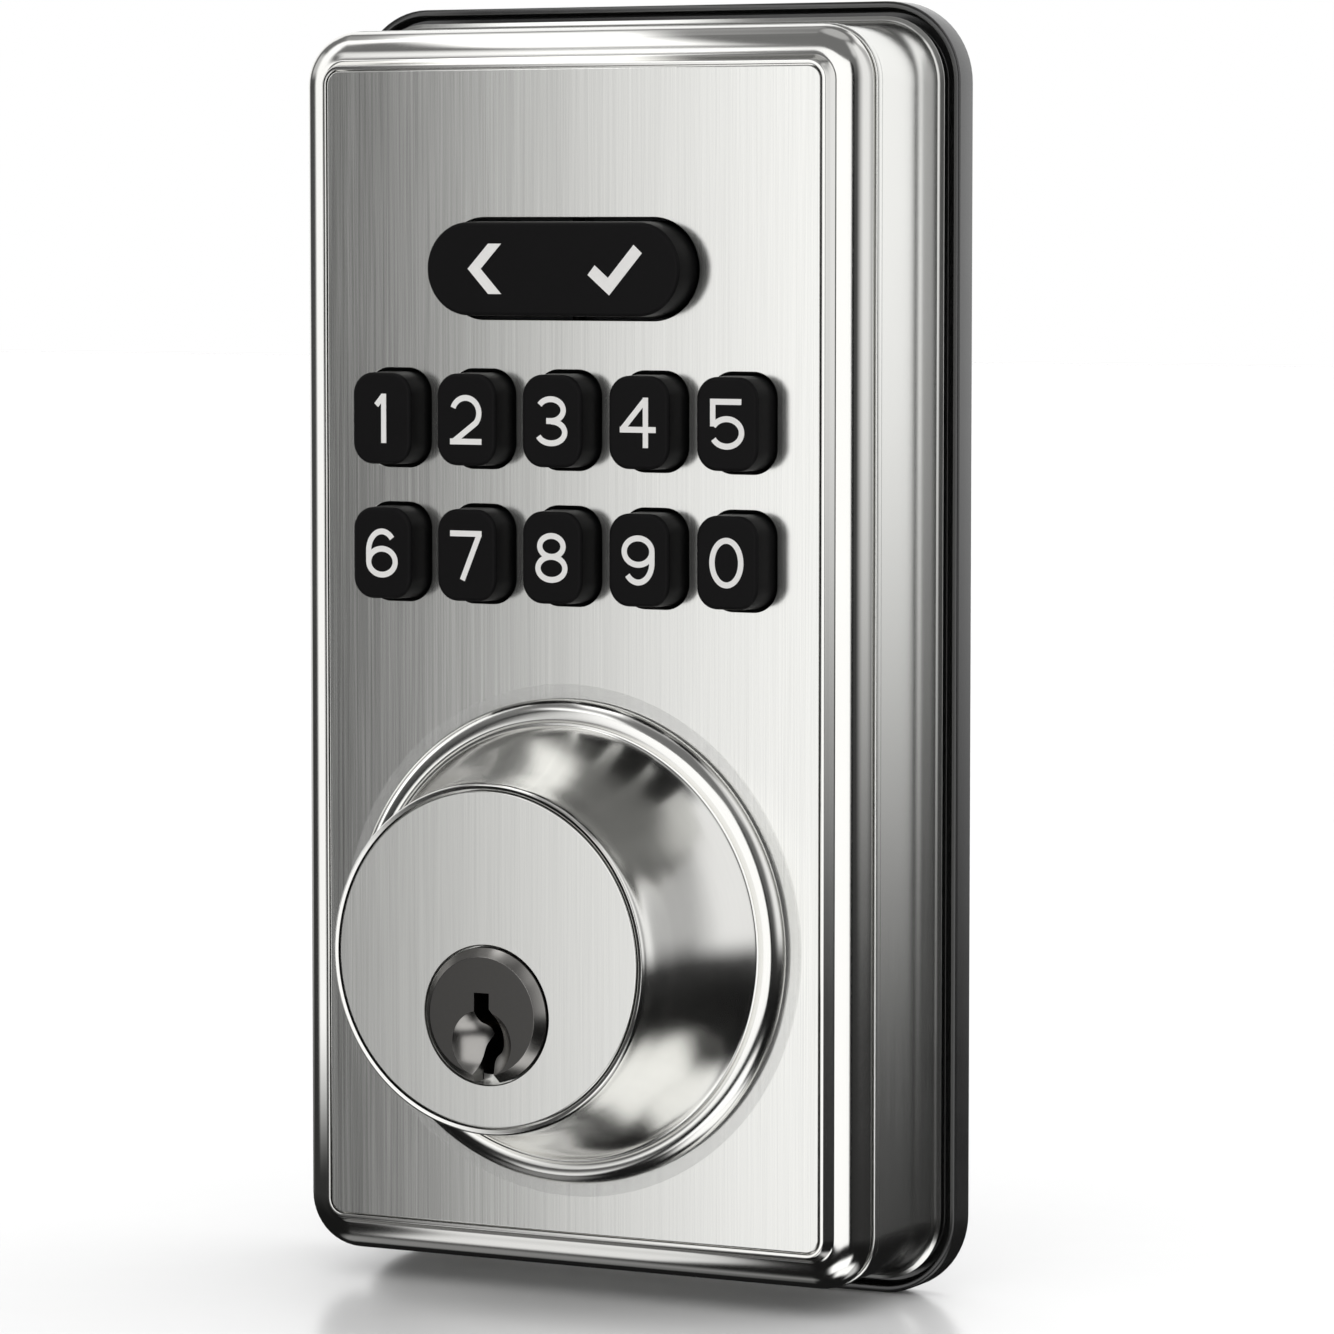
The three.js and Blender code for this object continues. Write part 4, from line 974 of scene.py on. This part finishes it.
def make_tailpiece():
    """A flat blade with a wide root and scored lines where it is snapped to length."""
    low, high = span("tailpiece")
    half_thick = high[0]
    half_wide = 3
    root, root_end = 5.2, -10.4
    stations = [(low[1], root - 0.1, 0.1), (low[1] + 0.1, root, 0), (root_end - 0.1, root, 0),
                (root_end, root - 0.1, 0.1), (root_end, half_wide, 0)]
    score = 22
    while score < high[1] - 5:
        stations += [(score - 0.35, half_wide, 0), (score - 0.05, half_wide - 0.2, 0.28),
                     (score + 0.05, half_wide - 0.2, 0.28), (score + 0.35, half_wide, 0)]
        score += 5
    stations += [(high[1] - 2.6, half_wide, 0), (high[1] - 1.1, half_wide - 0.55, 0),
                 (high[1] - 0.3, half_wide - 1.1, 0.05), (high[1], half_wide - 1.5, 0.3)]
    rings = []
    for y, wide, dip in stations:
        thick = half_thick - dip
        rings.append([(u, y, v) for u, v in rounded(0, 0, thick, wide, 0.25, 4)])
    piece("tail_blade", Shell().rings(rings), "blade", "tailpiece", ["tailpiece"])


# ------------------------------------------------------------------ mounting

def make_posts():
    shoulder = -14.7
    neck, radius, bore, depth = 2.4, 4, 2.1, 18
    for side, (low, high) in POSTS.items():
        top, bottom = low[1], high[1]
        thread = []
        for i in range(14):
            y = bottom - 0.9 - i * 0.8
            thread += [(bore, y, 0), (bore + 0.22, y - 0.4, 0)]
        profile = soften([
            (0, top, 0), (neck, top, 0.25), (neck, shoulder, 0), (radius, shoulder, 0.25),
            (radius, bottom - 2.6, 0.1), (radius - 0.15, bottom - 2.45, 0), (radius - 0.15, bottom - 2.1, 0),
            (radius, bottom - 1.95, 0.1), (radius, bottom, 0.3), (bore + 0.5, bottom, 0.1),
            (bore, bottom - 0.6, 0), *thread, (bore, bottom - depth, 0), (0, bottom - depth, 0),
        ], 4)
        post = Shell().turned(profile, middle(low, high)[0], 0, 64)
        piece(f"post_{side}", post, "steel", nodes=[f"mounting_post_{side}"])


# The CAD nodes that stay as they are, each with its material
KEPT = {
    "key_guide": "guide", "key_mat": "silicone", "circuit_board": "board", "controller_chip": "chip",
    "buzzer": "chip", "cable_connector": "connector", "pin_chamber_cover": "steel",
    "cylinder_bracket": "steel", "cylinder_screw_left": "steel", "cylinder_screw_right": "steel",
    **{f"board_screw_{i}": "steel" for i in range(1, 5)},
    **{f"key_pin_{i}": "brass" for i in range(1, PIN_COUNT + 1)},
    **{f"driver_pin_{i}": "brass" for i in range(1, PIN_COUNT + 1)},
    **{f"pin_spring_{i}": "spring" for i in range(1, PIN_COUNT + 1)},
}


def dress_kept():
    for node, look in KEPT.items():
        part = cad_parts[node]
        part.data.materials.clear()
        part.data.materials.append(MATERIALS[look])
        soft_edges(part, 0.06, 50)


# ------------------------------------------------------------------ studio

FLOOR = GASKET_LOW[2] - 0.05
FLOOR_HALF = 4000


def sheet(name, half_width, half_height, level, material):
    """A flat rectangle in its own XY plane."""
    mesh = bpy.data.meshes.new(name)
    corners = [(-half_width, -half_height), (half_width, -half_height),
               (half_width, half_height), (-half_width, half_height)]
    mesh.from_pydata([(x * MM, y * MM, level * MM) for x, y in corners], [], [(0, 1, 2, 3)])
    mesh.materials.append(material)
    made = bpy.data.objects.new(name, mesh)
    bpy.context.scene.collection.objects.link(made)
    return made


def make_floor():
    """A smooth pale floor that mirrors the lock faintly. Reflections on the lock don't see it."""
    paint = surface("floor_paint", (0.88, 0.88, 0.88), 0.2, grains=[((0.05, 0.05, 0.05), 0.006, 0.02, 0)])
    floor = sheet("floor", FLOOR_HALF, FLOOR_HALF, FLOOR, paint)
    floor.visible_glossy = False


def card(name, centre, half_width, half_height, facing, build, solid=False):
    """A glowing panel that only reflections see, from its front. build(graph, across, up) gives its
    strength. A solid panel hides what is behind it, and any other only adds its light."""
    material = bpy.data.materials.new(name)
    material.use_nodes = True
    graph = Graph(material.node_tree)
    place = graph.node("SeparateXYZ", {0: graph.node("TexCoord").outputs["Object"]})
    strength = build(graph, place.outputs[0], place.outputs[1])
    glow = graph.node("Emission", {"Color": (1, 1, 1, 1), "Strength": strength})
    clear = graph.node("BsdfTransparent")
    if not solid:
        glow = graph.node("AddShader", {0: glow.outputs[0], 1: clear.outputs[0]})
    back = graph.node("NewGeometry").outputs["Backfacing"]
    shown = graph.node("MixShader", {0: back, 1: glow.outputs[0], 2: clear.outputs[0]})
    graph.feed(graph.node("OutputMaterial").inputs["Surface"], shown.outputs[0])
    panel = sheet(name, half_width, half_height, 0, material)
    panel.location = [c * MM for c in centre]
    panel.rotation_euler = Vector(facing).to_track_quat("Z", "Y").to_euler()
    panel.visible_camera = False
    panel.visible_diffuse = False
    panel.visible_shadow = False
    panel.visible_transmission = False


def sweep(graph, across, up):
    """The front panel's glow: it darkens towards its left side, its right end and its foot."""
    # The panel faces the lock, so its own X runs to the left
    left = graph.fade(across, 264 * MM, 156 * MM)
    right = graph.fade(across, -225 * MM, -195 * MM)
    foot = graph.fade(up, -180 * MM, -145 * MM)
    glow = graph.math("MULTIPLY", graph.math("MULTIPLY", left, right), foot)
    return graph.math("MULTIPLY_ADD", glow, 1.22, 0.01)


def pool(wide, tall, strength, soft=0.5, lean=0, full=0.3):
    """A patch of glow. Its sides are soft over a share of its half width, its ends are at full
    strength up to a share of its half height, and it can lean."""
    def build(graph, across, up):
        across = graph.math("MULTIPLY_ADD", up, lean, across)
        side = graph.fade(graph.math("ABSOLUTE", across), wide * MM, wide * (1 - soft) * MM)
        end = graph.fade(graph.math("ABSOLUTE", up), tall * MM, tall * full * MM)
        return graph.math("MULTIPLY", graph.math("MULTIPLY", side, end), strength)
    return build


def make_cards():
    # The plate and the cylinder's face mirror the front panel
    card("front_panel", (0, -400, 20), 300, 260, (0, 1, 0), sweep, solid=True)
    # Two panels overhead for the bezel's top edge, and one below for its bottom edge
    down = (0, 0.05, -1)
    card("top_panel", (-29, -44, 142), 23, 50, down, pool(23, 50, 1.5))
    card("upper_panel", (-64, -142, 142), 46, 58, down, pool(46, 58, 1.25))
    card("low_panel", (-61, -97, -105), 90, 62, (0, 1, 0), pool(29, 62, 0.9, 0.35, 0.53))
    # A tall strip close by on the left, for the bezel's left side
    card("left_panel", (-45, -31, 76), 7, 102, (1, 0, 0), pool(7, 102, 1.1, 0.6, full=0.8))


# The studio's soft panels, in degrees: azimuth (0 in front, positive to the right), elevation, half
# width, half height, softness of the sides, softness of the ends. The last value is the brightness.
STUDIO = [
    (90, 28, 32, 32.5, 18, 6, 0.95),
    (128, 28, 26, 31, 14, 8, 0.5),
    (156, 25, 22, 30, 6, 6, 1.12),
    (-50, 52, 10, 12, 8, 8, 0.2),
    (62, 50, 18, 16, 12, 8, 0.72),
    (20, -44, 28, 10, 6, 3, 1.35),
    (45, -62, 40, 11, 10, 5, 1.25),
    (110, -62, 40, 10, 10, 7, 0.6),
    (-100, 60, 42, 7, 10, 5, 0.35),
    (-80, 18, 14, 10, 6, 5, 0.6),
    (-75, -57, 25, 8, 10, 5, 0.25),
    (-153, 20, 45, 26, 8, 6, 1.1),
    (0, 90, 180, 22, 1, 6, 0.5),
]


def make_world():
    """A pale sky for the camera and the floor, and a studio of soft panels for reflections."""
    world = bpy.data.worlds.new("studio")
    bpy.context.scene.world = world
    world.use_nodes = True
    graph = Graph(world.node_tree)
    way = graph.node("SeparateXYZ", {0: graph.node("TexCoord").outputs["Generated"]})
    x, y, z = way.outputs
    turn = graph.math("ARCTAN2", x, graph.math("MULTIPLY", y, -1.0))
    rise = graph.math("ARCSINE", z)

    def patch(azimuth, elevation, wide, high, soft_wide, soft_high, value):
        away = graph.math("WRAP", graph.math("SUBTRACT", turn, math.radians(azimuth)), math.pi, -math.pi)
        side = graph.math("ABSOLUTE", away)
        lift = graph.math("ABSOLUTE", graph.math("SUBTRACT", rise, math.radians(elevation)))
        part = graph.fade(side, math.radians(wide + soft_wide), math.radians(wide - soft_wide))
        other = graph.fade(lift, math.radians(high + soft_high), math.radians(high - soft_high))
        return graph.math("MULTIPLY", graph.math("MULTIPLY", part, other), value)

    # Reflections see a faint rise from dark to grey, and the brightest panel that lies that way
    studio = graph.fade(rise, math.radians(-25), math.radians(40))
    studio = graph.math("MULTIPLY_ADD", studio, 0.17, 0.01)
    for shape in STUDIO:
        studio = graph.math("MAXIMUM", studio, patch(*shape))

    # Diffuse light comes mostly from above and behind, so the shadow falls forwards
    above = graph.math("MULTIPLY_ADD", x, 0.4, graph.math("MULTIPLY", z, 0.87))
    behind = graph.math("MAXIMUM", graph.math("MULTIPLY_ADD", y, 0.3, above), 0.0)
    before = graph.math("MAXIMUM", graph.math("MULTIPLY", y, -0.55), 0.0)
    diffuse = graph.math("ADD", graph.math("MULTIPLY_ADD", behind, 1.58, 0.16), before)

    path = graph.node("LightPath")
    seen = graph.node("Mix", {"Factor": path.outputs["Is Diffuse Ray"], "A": studio, "B": diffuse})
    shown = graph.node("Mix", {"Factor": path.outputs["Is Camera Ray"], "A": seen.outputs[0], "B": 1.0})
    background = graph.node("Background", {"Color": (1, 1, 1, 1), "Strength": shown.outputs[0]})
    graph.feed(graph.node("OutputWorld").inputs["Surface"], background.outputs[0])


def make_camera():
    azimuth, elevation = math.radians(27.334), math.radians(4.306)
    level = math.cos(elevation)
    back = Vector((math.sin(azimuth) * level, -math.cos(azimuth) * level, math.sin(elevation)))
    right = Vector((math.cos(azimuth), math.sin(azimuth), 0))
    up = back.cross(right)
    data = bpy.data.cameras.new("camera")
    data.lens = 157.9
    data.sensor_width = 36
    data.clip_start = 0.01
    data.clip_end = 20
    camera = bpy.data.objects.new("camera", data)
    turn = Matrix((right, up, back)).transposed().to_4x4()
    camera.matrix_world = Matrix.Translation(Vector((298.608, -577.427, 83.088)) * MM) @ turn
    bpy.context.scene.collection.objects.link(camera)
    bpy.context.scene.camera = camera
    bpy.context.scene.view_settings.view_transform = "Standard"


make_camera()
make_plate()
make_bezel()
make_housing()
make_gasket()
make_back_plate()
make_grommet()
make_back_screws()
make_keys()
make_rocker()
make_collar()
make_washer()
make_cylinder()
make_plug()
make_plug_dogs()
make_plug_cap()
make_tailpiece()
make_posts()
dress_kept()
make_floor()
make_cards()
make_world()
